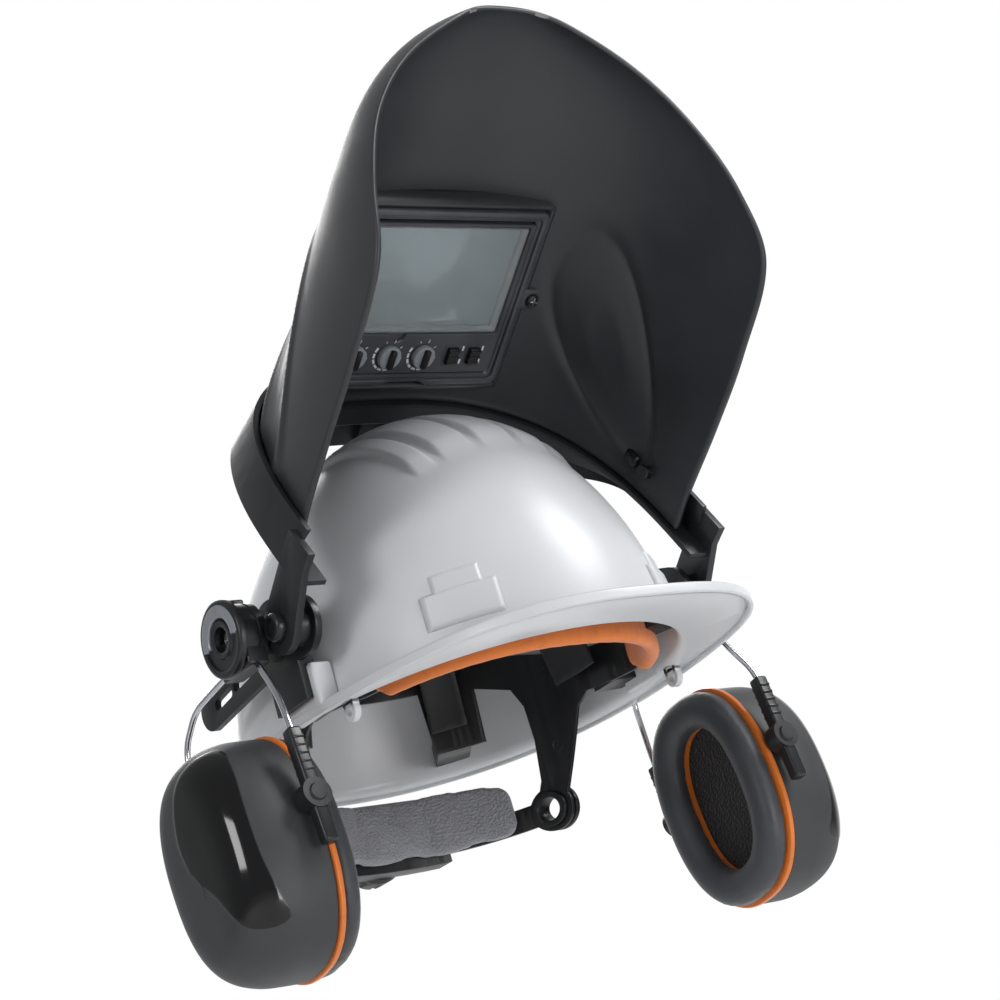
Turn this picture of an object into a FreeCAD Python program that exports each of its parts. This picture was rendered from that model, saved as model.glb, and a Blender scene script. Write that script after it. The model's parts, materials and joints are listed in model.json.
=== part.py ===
import FreeCAD, Part
import math
import os

# Hard hat with ear muffs and a flip-up welding shield.
# Millimetres. Z is up, -Y is the way the wearer faces, +X is the wearer's left.
# The origin is the middle of the head opening, level with the rim.
# The shield is drawn lowered and turned up into its rest place at the end.

V = FreeCAD.Vector
X_AXIS = V(1, 0, 0)
Y_AXIS = V(0, 1, 0)
Z_AXIS = V(0, 0, 1)
BIG = 400.0
CLEAR = 0.15

# Shell
DOME_X = 103.4
DOME_Y = 129.1
DOME_Z = 152.4
DOME_CENTRE = V(0, 1.3, -5.7)
DOME_LEAN = 3.8
SHELL_WALL = 2.6
RIM_X = 108.7
RIM_Y = 133.4
RIM_POWER = 2.12
RIM_THICK = 2.6
RIM_BEAD_WIDTH = 2.4
RIM_BEAD_DROP = 1.6
RIM_BEAD_RISE = 0.9
PEAK_X = 105.0
PEAK_Y = 169.0
PEAK_POWER = 2.8
RIB_HEIGHT = 3.2
RIB_DRAW_IN = 1.6
RIB_SPANS = ((-11.0, 11.0), (14.0, 33.0), (-33.0, -14.0), (36.0, 47.0), (-47.0, -36.0))
RIB_REAR_Y = 95.0
PAD_AZIMUTH = 30.0
PAD_LOWER = (18.5, 13.0, 31.0, 2.8)
PAD_UPPER = (12.0, 30.0, 40.0, 1.7)
LUG_X = (94.0, 97.5)
LUG_Y = -48.6
LUG_HALF = 5.0
LUG_HOLE_Z = -7.0
LUG_HOLE_RADIUS = 2.5
POCKET_X = (97.0, 108.2)
POCKET_Y = (-44.0, -8.0)
POCKET_Z = (-1.0, 20.0)
SLOT_X = (103.0, 106.0)
SLOT_Y = (-40.0, -12.0)
SLOT_FLOOR_Z = 3.0

# Head harness
BAND_X = 84.0
BAND_Y = 99.0
BAND_CENTRE_Y = -6.0
BAND_POWER = 2.3
BAND_WALL = 1.6
BAND_PROFILE = (
    (-130.0, 0.0), (-40.0, 1.5), (4.0, 6.5), (14.0, 2.0), (22.0, -12.0), (33.0, -31.0),
    (38.0, -40.0), (54.0, -38.0), (48.5, -26.0), (46.0, -5.0), (46.5, 14.0), (51.0, 25.0),
    (68.0, 33.0), (69.0, 4.0), (84.0, 4.0), (84.5, 38.0), (120.0, 38.0), (120.0, 52.0),
    (76.0, 51.0), (42.0, 41.0), (10.0, 29.0), (-40.0, 21.0), (-130.0, 20.0),
)
SWEAT_THICK = 3.4
SWEAT_Z = (-3.0, 24.0)
SWEAT_FLAP = 2.0
SWEAT_FLAP_TOP_Z = 16.0
SWEAT_REAR_Y = -50.0
RING_Y = 46.7
RING_Z = -41.7
RING_OUTER = 11.5
RING_PIN = 7.5
RING_BORE = 6.0
RUNNING_GAP = 0.06
NAPE_WALL = 2.0
NAPE_GAP = 1.1
EYELET_HEAD_GAP = 1.0
EYELET_HEAD_WALL = 1.2
NAPE_STRAP_Z = (-47.5, -35.5)
NAPE_PAD_HALF = 62.0
NAPE_PAD_Z = (-49.5, -15.0)
NAPE_PAD_THICK = 7.0
HOUSING_HALF = 33.0
HOUSING_Z = (-52.0, -22.0)
HOUSING_DEPTH = 12.0
KNOB_Z = -37.0
KNOB_RADIUS = 17.0
KNOB_DEPTH = 13.0
KNOB_SHAFT = 5.0
CRADLE_X = 78.0
CRADLE_Y = 95.0
CRADLE_Z = 112.0
CRADLE_WALL = 1.4
CRADLE_HALF_WIDTH = 9.5
CRADLE_FOOT_Z = 14.5
CLIP_HALF = 9.0
CLIP_Z = (4.0, 14.4)
CLIP_AZIMUTHS = {"front": -59.5, "side": -6.0, "rear": 59.5}

# Ear muff mount and hub
HUB_Y = -26.0
HUB_Z = 40.0
PIVOT_Y = -49.0
PIVOT_Z = 36.0
FLIP_DEG = 120.0
PLATE_X = (108.7, 112.2)
POST_RADIUS = 6.5
POST_END_X = 134.0
TONGUE_END_Y = 45.0
TONGUE_END_Z = 27.5
TONGUE_HALF = 9.0
PIN_RADIUS = 4.0
PIN_END_X = 126.6
HUB_RADIUS = 16.0
HUB_X = (124.2, 137.0)
HUB_NECK_RADIUS = 8.6
CAP_RADIUS = 18.5
CAP_X = (137.2, 141.2)

# Ear muff bow and cup
WIRE_RADIUS = 1.5
SWING_X = 131.5
SWING_Z = 27.5
CUP_CENTRE = V(148.0, -18.0, -64.0)
CUP_LEAN = -8.0
CUP_HALF_Y = 41.0
CUP_HALF_Z = 56.0
CUP_POWER = 2.35
CUP_WALL = 2.5
LEG_OFFSET = 48.5
LEG_X = 138.0
TILT_Z = 9.0
PANEL_OUTLINE = (
    (-24.6, 47.0), (-33.5, 33.0), (-36.9, 15.8), (-37.2, -8.0), (-36.2, -25.2), (-31.0, -41.7),
    (-21.3, -39.3), (-16.5, -28.3), (-9.6, -15.5), (2.0, -4.0), (6.2, 6.5), (7.0, 18.4),
    (1.0, 33.0), (-6.6, 42.0), (-15.0, 46.5),
)
CUP_SECTIONS = ((-14.0, 0.0), (4.0, 0.0), (16.0, 2.6), (25.0, 8.5), (30.0, 19.0))

# Shield, in its lowered place
BACK_Y = -60.0
SHIELD_POWER = 2.6
SHIELD_WALL = 2.2
SHIELD_SECTIONS = (
    (8.2, 113.5, -187.0),
    (-25.0, 115.0, -190.0),
    (-60.0, 115.5, -193.0),
    (-100.0, 115.0, -197.0),
    (-140.0, 113.8, -202.0),
    (-165.0, 109.5, -206.0),
    (-182.0, 101.0, -207.0),
    (-195.0, 86.0, -206.0),
    (-205.0, 62.0, -203.0),
    (-213.0, 36.0, -197.0),
)
SHIELD_EDGE = (
    (-66.0, 8.2),
    (-69.6, -10.7),
    (-71.9, -49.6),
    (-75.2, -91.0),
    (-85.3, -139.5),
    (-114.7, -161.7),
    (-148.7, -180.0),
    (-172.7, -193.8),
    (-192.2, -205.9),
    (-199.0, -207.0),
    (-240.0, -208.0),
)
YOKE_TOP_Z = 11.0
YOKE_LOW_Z = -11.0
YOKE_TOP_X = 123.4
YOKE_TOP_Y = -197.0
YOKE_LOW_X = 118.6
YOKE_LOW_Y = -193.5
YOKE_WALL = 2.6
YOKE_WEB = 2.6
YOKE_INNER_X = 108.0
YOKE_INNER_Y = -181.0
YOKE_REAR_Y = -47.0
ARM_X = (119.4, 123.2)
ARM_RADIUS = 13.0

# Filter cartridge, local frame: x across, z up, y the way out of the shield
FACE_Y = -176.0
FACE_Z = -58.0
FACE_TILT = -3.2
FRAME_X = 57.0
FRAME_Z = 49.5
FRAME_HOLE_X = 51.0
FRAME_HOLE_Z = 43.0
BODY_X = 50.6
BODY_Z = 42.6
WINDOW_X = 45.0
WINDOW_Z = (-38.0, 17.0)
BAY_WALL = 2.4
BAY_X = 60.0
BAY_Z = 52.5
BAY_FRONT_Y = -193.5
EAR_X = 62.5
KNOB_X = (-35.0, -14.5, 6.0)
KNOB_FACE_Z = 32.0
SWITCH_X = (24.0, 37.0)
CONTROL_RADIUS = 6.4
CONTROL_SHAFT = 2.2


def box(x0, x1, y0, y1, z0, z1):
    return Part.makeBox(x1 - x0, y1 - y0, z1 - z0, V(x0, y0, z0))


def rod(start, direction, radius, length):
    return Part.makeCylinder(radius, length, start, direction)


def rod_between(start, end, radius):
    return rod(start, end - start, radius, (end - start).Length)


def mirrored(shape):
    return shape.mirror(V(0, 0, 0), X_AXIS)


def curve_through(points, closed=False):
    curve = Part.BSplineCurve()
    curve.interpolate(points, PeriodicFlag=closed)
    return curve.toShape()


def superellipse(half_x, half_y, power, z=0.0, centre_y=0.0, count=64):
    points = []
    for step in range(count):
        angle = 2.0 * math.pi * step / count
        x = math.copysign(abs(math.cos(angle)) ** (2.0 / power), math.cos(angle))
        y = math.copysign(abs(math.sin(angle)) ** (2.0 / power), math.sin(angle))
        points.append(V(half_x * x, centre_y + half_y * y, z))
    return Part.Wire([curve_through(points, True)])


def oval_block(half_x, half_y, power, z0, z1, centre_y=0.0):
    face = Part.Face(superellipse(half_x, half_y, power, z0, centre_y))
    return face.extrude(V(0, 0, z1 - z0))


def oval_ring(half_x, half_y, power, wall, z0, z1, centre_y=0.0):
    outer = oval_block(half_x, half_y, power, z0, z1, centre_y)
    inner = oval_block(half_x - wall, half_y - wall, power, z0 - 1.0, z1 + 1.0, centre_y)
    return outer.cut(inner)


def ellipsoid(half_x, half_y, half_z):
    stretch = FreeCAD.Matrix()
    stretch.A11 = half_x
    stretch.A22 = half_y
    stretch.A33 = half_z
    shape = Part.makeSphere(1.0).transformGeometry(stretch)
    shape.rotate(V(0, 0, 0), X_AXIS, DOME_LEAN)
    shape.translate(DOME_CENTRE)
    return shape


def side_profile(points, x0, x1):
    corners = [V(x0, y, z) for y, z in points]
    corners.append(corners[0])
    return Part.Face(Part.makePolygon(corners)).extrude(V(x1 - x0, 0, 0))


def stadium(y0, z0, radius0, y1, z1, radius1, x0, x1):
    # A flat plate whose outline wraps two circles.
    length = x1 - x0
    first = rod(V(x0, y0, z0), X_AXIS, radius0, length)
    last = rod(V(x0, y1, z1), X_AXIS, radius1, length)
    along = V(0, y1 - y0, z1 - z0)
    slope = math.asin((radius0 - radius1) / along.Length)
    heading = math.atan2(along.z, along.y)
    corners = []
    for side in (1.0, -1.0):
        angle = heading + side * (math.pi / 2.0 - slope)
        near = (y0 + radius0 * math.cos(angle), z0 + radius0 * math.sin(angle))
        far = (y1 + radius1 * math.cos(angle), z1 + radius1 * math.sin(angle))
        corners.append((near, far))
    outline = (corners[0][0], corners[0][1], corners[1][1], corners[1][0])
    return first.fuse([side_profile(outline, x0, x1), last]).removeSplitter()


def half_oval(half_x, front_y, z):
    # Closed outline of a face shield slice: a rounded front and a straight back.
    depth = BACK_Y - front_y
    points = []
    count = 36
    for step in range(count + 1):
        angle = math.pi * step / count
        x = math.copysign(abs(math.cos(angle)) ** (2.0 / SHIELD_POWER), math.cos(angle))
        y = abs(math.sin(angle)) ** (2.0 / SHIELD_POWER)
        points.append(V(half_x * x, BACK_Y - depth * y, z))
    front = curve_through(points)
    back = Part.makeLine(points[-1], points[0])
    return Part.Wire([front, back])


def save(name, shape):
    if isinstance(shape, Part.Compound) and len(shape.Solids) == 1:
        shape = shape.Solids[0]
    shape.exportStep("parts/" + name + ".step")


def save_pair(name, shape):
    save(name + "_l", shape)
    save(name + "_r", mirrored(shape))


# ---------------------------------------------------------------- shell

def raised_block(azimuth, half_width, z0, z1, height):
    # A flat block standing a little proud of the dome.
    block = box(60.0, 160.0, -half_width, half_width, z0, z1)
    block.rotate(V(0, 0, 0), Z_AXIS, azimuth)
    skin = ellipsoid(DOME_X + height, DOME_Y + height, DOME_Z + height)
    return skin.common(block)


def crown_rib(x0, x1):
    swell = ellipsoid(DOME_X + RIB_HEIGHT, DOME_Y - RIB_DRAW_IN, DOME_Z + RIB_HEIGHT)
    return swell.common(box(x0, x1, -BIG, RIB_REAR_Y, 60.0, BIG))


def chin_lug():
    plate = box(LUG_X[0], LUG_X[1], LUG_Y - LUG_HALF, LUG_Y + LUG_HALF, LUG_HOLE_Z, -1.0)
    tip = rod(V(LUG_X[0], LUG_Y, LUG_HOLE_Z), X_AXIS, LUG_HALF, LUG_X[1] - LUG_X[0])
    hole = rod(V(LUG_X[0] - 1.0, LUG_Y, LUG_HOLE_Z), X_AXIS, LUG_HOLE_RADIUS, 10.0)
    return plate.fuse(tip).cut(hole).removeSplitter()


def side_pocket():
    return box(POCKET_X[0], POCKET_X[1], POCKET_Y[0], POCKET_Y[1], POCKET_Z[0], POCKET_Z[1])


def polar_reach(angle, half_x, half_y, power):
    # Distance from the middle to an oval's edge in one direction.
    total = abs(math.cos(angle) / half_x) ** power + abs(math.sin(angle) / half_y) ** power
    return total ** (-1.0 / power)


def brim_block(inset, z0, z1, count=72):
    # The brim follows the rim oval, and runs out to the peak in front.
    points = []
    for step in range(count):
        angle = 2.0 * math.pi * step / count
        reach = polar_reach(angle, RIM_X, RIM_Y, RIM_POWER)
        if math.sin(angle) < 0.0:
            reach = max(reach, polar_reach(angle, PEAK_X, PEAK_Y, PEAK_POWER))
        reach -= inset
        points.append(V(reach * math.cos(angle), reach * math.sin(angle), z0))
    face = Part.Face(Part.Wire([curve_through(points, True)]))
    return face.extrude(V(0, 0, z1 - z0))


def shell():
    bottom = -RIM_THICK
    dome = ellipsoid(DOME_X, DOME_Y, DOME_Z)
    for rib in RIB_SPANS:
        dome = dome.fuse(crown_rib(*rib))
    for azimuth in (-90.0 - PAD_AZIMUTH, -90.0 + PAD_AZIMUTH):
        dome = dome.fuse(raised_block(azimuth, *PAD_LOWER))
        dome = dome.fuse(raised_block(azimuth, *PAD_UPPER))
    dome = dome.common(box(-BIG, BIG, -BIG, BIG, bottom, BIG))
    brim = brim_block(0.0, bottom, 0.0)
    bead = brim_block(0.0, bottom - RIM_BEAD_DROP, RIM_BEAD_RISE)
    bead = bead.cut(brim_block(RIM_BEAD_WIDTH, bottom - BIG, BIG))
    body = dome.fuse([brim, bead, side_pocket(), mirrored(side_pocket())])
    hollow = ellipsoid(DOME_X - SHELL_WALL, DOME_Y - SHELL_WALL, DOME_Z - SHELL_WALL)
    body = body.cut(hollow)
    slot = box(SLOT_X[0], SLOT_X[1], SLOT_Y[0], SLOT_Y[1], SLOT_FLOOR_Z, BIG)
    slot = slot.common(box(-BIG, BIG, -BIG, BIG, 0.0, POCKET_Z[1] + 1.0))
    body = body.cut(slot).cut(mirrored(slot))
    body = body.fuse([chin_lug(), mirrored(chin_lug())])
    return body.removeSplitter()


# ---------------------------------------------------------------- head harness

def band_wall(outset, wall, z0, z1):
    return oval_ring(BAND_X + outset, BAND_Y + outset, BAND_POWER, wall, z0, z1, BAND_CENTRE_Y)


def headband():
    # Level in front, rising to the back, with a stem down to the nape eyelet.
    wall = band_wall(0.0, BAND_WALL, -60.0, 60.0)
    outline = side_profile(BAND_PROFILE, -BIG / 2, BIG / 2)
    ring = rod(V(-BIG / 2, RING_Y, RING_Z), X_AXIS, RING_OUTER, BIG)
    shape = wall.common(outline.fuse(ring))
    hole = rod(V(-BIG / 2, RING_Y, RING_Z), X_AXIS, RING_PIN + RUNNING_GAP, BIG)
    return shape.cut(hole)


def clip_room(azimuth):
    # Space left in the sweatband's outer flap for a cradle clip.
    half = CLIP_HALF + 2.0 * CLEAR
    room = box(50.0, 160.0, -half, half, CLIP_Z[0] - 2.0 * CLEAR, SWEAT_Z[1])
    room.rotate(V(0, 0, 0), Z_AXIS, azimuth)
    return room


def sweatband():
    # Inner strip, turned under the headband's lower edge and up its outside.
    inner = band_wall(-BAND_WALL - CLEAR, SWEAT_THICK, SWEAT_Z[0], SWEAT_Z[1])
    outset = CLEAR + SWEAT_FLAP
    flap = band_wall(outset, SWEAT_FLAP, SWEAT_Z[0], SWEAT_FLAP_TOP_Z)
    fold = band_wall(outset, outset + BAND_WALL + 1.0, SWEAT_Z[0], -CLEAR)
    room = clip_room(CLIP_AZIMUTHS["front"])
    strip = inner.fuse([flap.cut(room).cut(mirrored(room)), fold])
    return strip.common(box(-BIG, BIG, -BIG, SWEAT_REAR_Y, -BIG, BIG)).removeSplitter()


def crown_cradle():
    outer = ellipsoid(CRADLE_X, CRADLE_Y, CRADLE_Z)
    inner = ellipsoid(CRADLE_X - CRADLE_WALL, CRADLE_Y - CRADLE_WALL, CRADLE_Z - CRADLE_WALL)
    web = outer.cut(inner)
    straps = []
    for azimuth in CLIP_AZIMUTHS.values():
        strap = box(-BIG / 2, BIG / 2, -CRADLE_HALF_WIDTH, CRADLE_HALF_WIDTH, CRADLE_FOOT_Z, BIG)
        strap.rotate(V(0, 0, 0), Z_AXIS, azimuth)
        straps.append(strap)
    level = box(-BIG / 2, BIG / 2, -CRADLE_HALF_WIDTH, CRADLE_HALF_WIDTH, CRADLE_FOOT_Z, BIG)
    level.rotate(V(0, 0, 0), Z_AXIS, -CLIP_AZIMUTHS["side"])
    straps.append(level)
    crossed = straps[0].fuse(straps[1:])
    vent = rod(V(0, DOME_CENTRE.y, 60.0), Z_AXIS, 14.0, 100.0)
    hub = rod(V(0, DOME_CENTRE.y - 4.0, 60.0), Z_AXIS, 26.0, 100.0)
    return web.common(crossed.fuse(hub)).cut(vent)


def cradle_clip(azimuth):
    # The clip spans from the headband to the shell wall.
    bar = box(50.0, 160.0, -CLIP_HALF, CLIP_HALF, CLIP_Z[0], CLIP_Z[1])
    window = box(50.0, 160.0, -CLIP_HALF + 3.0, CLIP_HALF - 3.0, CLIP_Z[0] + 3.0, CLIP_Z[1] - 2.5)
    bar = bar.cut(window)
    bar.rotate(V(0, 0, 0), Z_AXIS, azimuth)
    gap = SHELL_WALL + 0.05
    reach = ellipsoid(DOME_X - gap, DOME_Y - gap, DOME_Z - gap)
    core = oval_block(BAND_X + 0.05, BAND_Y + 0.05, BAND_POWER, -60.0, 60.0, BAND_CENTRE_Y)
    return bar.common(reach).cut(core)


# ---------------------------------------------------------------- nape strap

def nape_strap():
    wall = band_wall(NAPE_GAP + NAPE_WALL, NAPE_WALL, -60.0, 0.0)
    strap = box(HOUSING_HALF, BIG, RING_Y, BIG, NAPE_STRAP_Z[0], NAPE_STRAP_Z[1])
    eye = rod(V(20.0, RING_Y, RING_Z), X_AXIS, RING_OUTER, BIG)
    body = wall.common(strap.fuse(eye)).common(box(0.0, BIG, 0.0, BIG, -BIG, BIG))
    pin = rod(V(60.0, RING_Y, RING_Z), X_AXIS, RING_PIN, BIG)
    reach = NAPE_GAP + 0.3
    inner = BAND_WALL + EYELET_HEAD_GAP
    pin = pin.common(band_wall(reach, reach + inner + 0.5, -60.0, 0.0))
    head = rod(V(60.0, RING_Y, RING_Z), X_AXIS, RING_PIN + 1.6, BIG)
    head = head.common(band_wall(-inner, EYELET_HEAD_WALL, -60.0, 0.0))
    eyelet = rod(V(60.0, RING_Y, RING_Z), X_AXIS, RING_BORE, BIG)
    return body.fuse([pin, head]).cut(eyelet)


def nape_pad():
    wall = band_wall(-0.1, NAPE_PAD_THICK, NAPE_PAD_Z[0], NAPE_PAD_Z[1])
    return wall.common(box(-NAPE_PAD_HALF, NAPE_PAD_HALF, 20.0, BIG, -BIG, BIG))


def ratchet_housing():
    wall = band_wall(HOUSING_DEPTH + 0.3, HOUSING_DEPTH, HOUSING_Z[0], HOUSING_Z[1])
    body = wall.common(box(-HOUSING_HALF, HOUSING_HALF, 20.0, BIG, -BIG, BIG))
    hole = rod(V(0, 88.0, KNOB_Z), Y_AXIS, KNOB_SHAFT + RUNNING_GAP, 60.0)
    return body.cut(hole)


def ratchet_knob():
    face_y = BAND_CENTRE_Y + BAND_Y + HOUSING_DEPTH + 0.8
    knob = rod(V(0, face_y, KNOB_Z), Y_AXIS, KNOB_RADIUS, KNOB_DEPTH)
    knob = knob.makeChamfer(1.5, [knob.Edges[0], knob.Edges[2]])
    for step in range(12):
        angle = math.radians(30.0 * step)
        side = V(math.cos(angle) * (KNOB_RADIUS + 1.0), 0, math.sin(angle) * (KNOB_RADIUS + 1.0))
        groove = rod(V(side.x, face_y + 3.0, KNOB_Z + side.z), Y_AXIS, 2.0, KNOB_DEPTH)
        knob = knob.cut(groove)
    shaft = rod(V(0, face_y - 9.0, KNOB_Z), Y_AXIS, KNOB_SHAFT, 10.0)
    return knob.fuse(shaft)


# ---------------------------------------------------------------- ear muff mount

def muff_mount():
    length = PLATE_X[1] - PLATE_X[0]
    plate = stadium(HUB_Y, HUB_Z, 17.0, PIVOT_Y, PIVOT_Z, 14.0, *PLATE_X)
    apron = box(PLATE_X[0], PLATE_X[1], SLOT_Y[0], SLOT_Y[1], 4.0, HUB_Z)
    tongue = stadium(HUB_Y, HUB_Z - 4.0, 11.0, TONGUE_END_Y, TONGUE_END_Z, TONGUE_HALF, *PLATE_X)
    for y0, y1 in ((4.0, 17.0), (24.0, 37.0)):
        z0 = HUB_Z - 4.0 + (y0 - HUB_Y) * (TONGUE_END_Z - HUB_Z + 4.0) / (TONGUE_END_Y - HUB_Y)
        z1 = HUB_Z - 4.0 + (y1 - HUB_Y) * (TONGUE_END_Z - HUB_Z + 4.0) / (TONGUE_END_Y - HUB_Y)
        slot = stadium(y0, z0, 2.5, y1, z1, 2.49, PLATE_X[0] - 1.0, PLATE_X[1] + 1.0)
        tongue = tongue.cut(slot)
    bridge = box(SLOT_X[0] + CLEAR, PLATE_X[1], SLOT_Y[0] + CLEAR, SLOT_Y[1] - CLEAR,
                 POCKET_Z[1] + 0.2, POCKET_Z[1] + 3.4)
    blade = box(SLOT_X[0] + CLEAR, SLOT_X[1] - CLEAR, SLOT_Y[0] + CLEAR, SLOT_Y[1] - CLEAR,
                SLOT_FLOOR_Z + 1.0, POCKET_Z[1] + 1.0)
    flange = rod(V(PLATE_X[1], HUB_Y, HUB_Z), X_AXIS, 13.0, 2.8)
    post = rod(V(PLATE_X[1], HUB_Y, HUB_Z), X_AXIS, POST_RADIUS, POST_END_X - PLATE_X[1])
    thread = rod(V(PLATE_X[1] + 4.0, HUB_Y, HUB_Z), X_AXIS, 2.5, 40.0)
    seat = rod(V(PLATE_X[1], PIVOT_Y, PIVOT_Z), X_AXIS, 9.5, 119.0 - PLATE_X[1])
    pin = rod(V(PLATE_X[1], PIVOT_Y, PIVOT_Z), X_AXIS, PIN_RADIUS, PIN_END_X - PLATE_X[1])
    body = plate.fuse([apron, tongue, bridge, blade, flange, post, seat, pin])
    return body.cut(thread).removeSplitter()


def hub_screw():
    head = rod(V(POST_END_X + 0.1, HUB_Y, HUB_Z), X_AXIS, 4.6, 3.4)
    recess = rod(V(POST_END_X + 1.4, HUB_Y, HUB_Z), X_AXIS, 2.1, 3.0)
    shank = rod(V(PLATE_X[1] + 8.0, HUB_Y, HUB_Z), X_AXIS, 2.5, POST_END_X - PLATE_X[1] - 7.9)
    return head.fuse(shank).cut(recess)


def hub_housing():
    drum = rod(V(HUB_X[0], HUB_Y, HUB_Z), X_AXIS, HUB_RADIUS, HUB_X[1] - HUB_X[0])
    neck = rod(V(115.3, HUB_Y, HUB_Z), X_AXIS, HUB_NECK_RADIUS, HUB_X[0] - 115.3)
    foot = box(HUB_X[0] + 2.0, HUB_X[1], HUB_Y - 13.0, HUB_Y + 13.0, SWING_Z - 4.5, HUB_Z)
    bore = rod(V(100.0, HUB_Y, HUB_Z), X_AXIS, POST_RADIUS + RUNNING_GAP, 60.0)
    wire = rod(V(SWING_X, HUB_Y - 40.0, SWING_Z), Y_AXIS, WIRE_RADIUS + 0.05, 80.0)
    return drum.fuse([neck, foot]).cut(bore).cut(wire).removeSplitter()


def hub_cap():
    disc = rod(V(CAP_X[0], HUB_Y, HUB_Z), X_AXIS, CAP_RADIUS, CAP_X[1] - CAP_X[0])
    disc = disc.makeChamfer(1.2, [disc.Edges[0]])
    hole = rod(V(CAP_X[0] - 1.0, HUB_Y, HUB_Z), X_AXIS, 6.0, 10.0)
    dish = rod(V(CAP_X[1] - 1.4, HUB_Y, HUB_Z), X_AXIS, 14.5, 4.0)
    rib = box(CAP_X[1] - 1.6, CAP_X[1], HUB_Y - 14.6, HUB_Y - 5.0, HUB_Z - 2.0, HUB_Z + 2.0)
    return disc.cut(dish).fuse(rib).cut(hole)


# ---------------------------------------------------------------- ear muff

def leaned(shape):
    # From the cup's own upright frame to its leaning place.
    placed = shape.copy()
    placed.rotate(V(0, 0, 0), X_AXIS, CUP_LEAN)
    placed.translate(CUP_CENTRE)
    return placed


def leaned_point(x, y, z):
    lean = math.radians(CUP_LEAN)
    return V(CUP_CENTRE.x + x,
             CUP_CENTRE.y + y * math.cos(lean) - z * math.sin(lean),
             CUP_CENTRE.z + y * math.sin(lean) + z * math.cos(lean))


def cup_outline(inset, x):
    wire = superellipse(CUP_HALF_Z - inset, CUP_HALF_Y - inset, CUP_POWER)
    wire.rotate(V(0, 0, 0), Y_AXIS, 90.0)
    wire.translate(V(x, 0, 0))
    return wire


def cup_slab(inset, x0, x1):
    return Part.Face(cup_outline(inset, x0)).extrude(V(x1 - x0, 0, 0))


def cup_loft(extra_inset, shorten):
    wires = []
    last = CUP_SECTIONS[-1][0]
    for x, inset in CUP_SECTIONS:
        shift = -shorten if x == last else 0.0
        wires.append(cup_outline(inset + extra_inset, x + shift))
    return Part.makeLoft(wires, True, False)


def cup_shell():
    body = cup_loft(0.0, 0.0).cut(cup_loft(CUP_WALL, CUP_WALL))
    for side in (-1.0, 1.0):
        end_y = side * (CUP_HALF_Y - 4.0)
        boss = rod(V(LEG_X - CUP_CENTRE.x, end_y, TILT_Z), Y_AXIS * side, 3.95, 4.8)
        hole = rod(V(LEG_X - CUP_CENTRE.x, end_y, TILT_Z), Y_AXIS * side,
                   2.5 + RUNNING_GAP, 12.0)
        body = body.fuse(boss).cut(hole)
    return leaned(body)


def cup_panel():
    # Glossy shield-shaped panel over the front shoulder and the outer end.
    skin = cup_loft(-1.3, -1.3).cut(cup_loft(-0.1, -0.1))
    corners = [V(-2.0, y, z) for y, z in PANEL_OUTLINE]
    window = Part.Face(Part.makePolygon(corners + corners[:1])).extrude(V(60.0, 0, 0))
    return leaned(skin.common(window))


def cup_ring():
    plate = cup_slab(-0.9, -17.2, -14.2)
    hole = cup_slab(17.0, -20.0, 0.0)
    return leaned(plate.cut(hole))


def ear_cushion():
    ring = cup_slab(0.4, -29.7, -17.5)
    hole = cup_slab(19.0, -40.0, 0.0)
    return leaned(ring.cut(hole))


def ear_foam():
    return leaned(cup_slab(5.0, -13.6, -6.0))


def bow_points():
    front_low = leaned_point(LEG_X - CUP_CENTRE.x, -LEG_OFFSET, -10.0)
    front_high = leaned_point(LEG_X - CUP_CENTRE.x, -LEG_OFFSET, 46.0)
    rear_low = leaned_point(LEG_X - CUP_CENTRE.x, LEG_OFFSET, -10.0)
    rear_high = leaned_point(LEG_X - CUP_CENTRE.x, LEG_OFFSET, 46.0)
    return (front_low, front_high,
            V(SWING_X, -50.0, 7.0),
            V(SWING_X, -43.0, SWING_Z),
            V(SWING_X, -6.0, SWING_Z),
            V(SWING_X, 30.0, 14.0),
            V(SWING_X + 1.0, rear_high.y + 2.5, 6.0),
            rear_high, rear_low)


def bow_wire():
    points = bow_points()
    body = None
    for start, end in zip(points, points[1:]):
        piece = rod_between(start, end, WIRE_RADIUS)
        body = piece if body is None else body.fuse(piece)
    for point in points[1:-1]:
        body = body.fuse(Part.makeSphere(WIRE_RADIUS, point))
    return body


def slider(side):
    # Grips the bow wire and carries the cup on a pin.
    x = LEG_X - CUP_CENTRE.x
    body = box(x - 3.6, x + 3.6, side * LEG_OFFSET - 3.4, side * LEG_OFFSET + 3.4, -14.0, 42.0)
    disc = rod(V(x, side * (LEG_OFFSET - 4.9), TILT_Z), Y_AXIS * side, 7.5, 8.3)
    pin = rod(V(x, side * (CUP_HALF_Y - 4.0), TILT_Z), Y_AXIS * side, 2.5, 8.0)
    bore = rod(V(x, side * LEG_OFFSET, -30.0), Z_AXIS, WIRE_RADIUS + 0.05, 90.0)
    return leaned(body.fuse([disc, pin]).cut(bore).removeSplitter())


# ---------------------------------------------------------------- shield

def raised(shape):
    placed = shape.copy()
    placed.rotate(V(0, PIVOT_Y, PIVOT_Z), X_AXIS, -FLIP_DEG)
    return placed


def tilted(shape):
    placed = shape.copy()
    placed.rotate(V(0, 0, 0), X_AXIS, FACE_TILT)
    placed.translate(V(0, FACE_Y, FACE_Z))
    return placed


def shield_loft(inset, top_extra):
    wires = []
    for index, (z, half_x, front_y) in enumerate(SHIELD_SECTIONS):
        height = z + top_extra if index == 0 else z
        wires.append(half_oval(half_x - inset, front_y + inset, height))
    return Part.makeLoft(wires, True, False)


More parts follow.
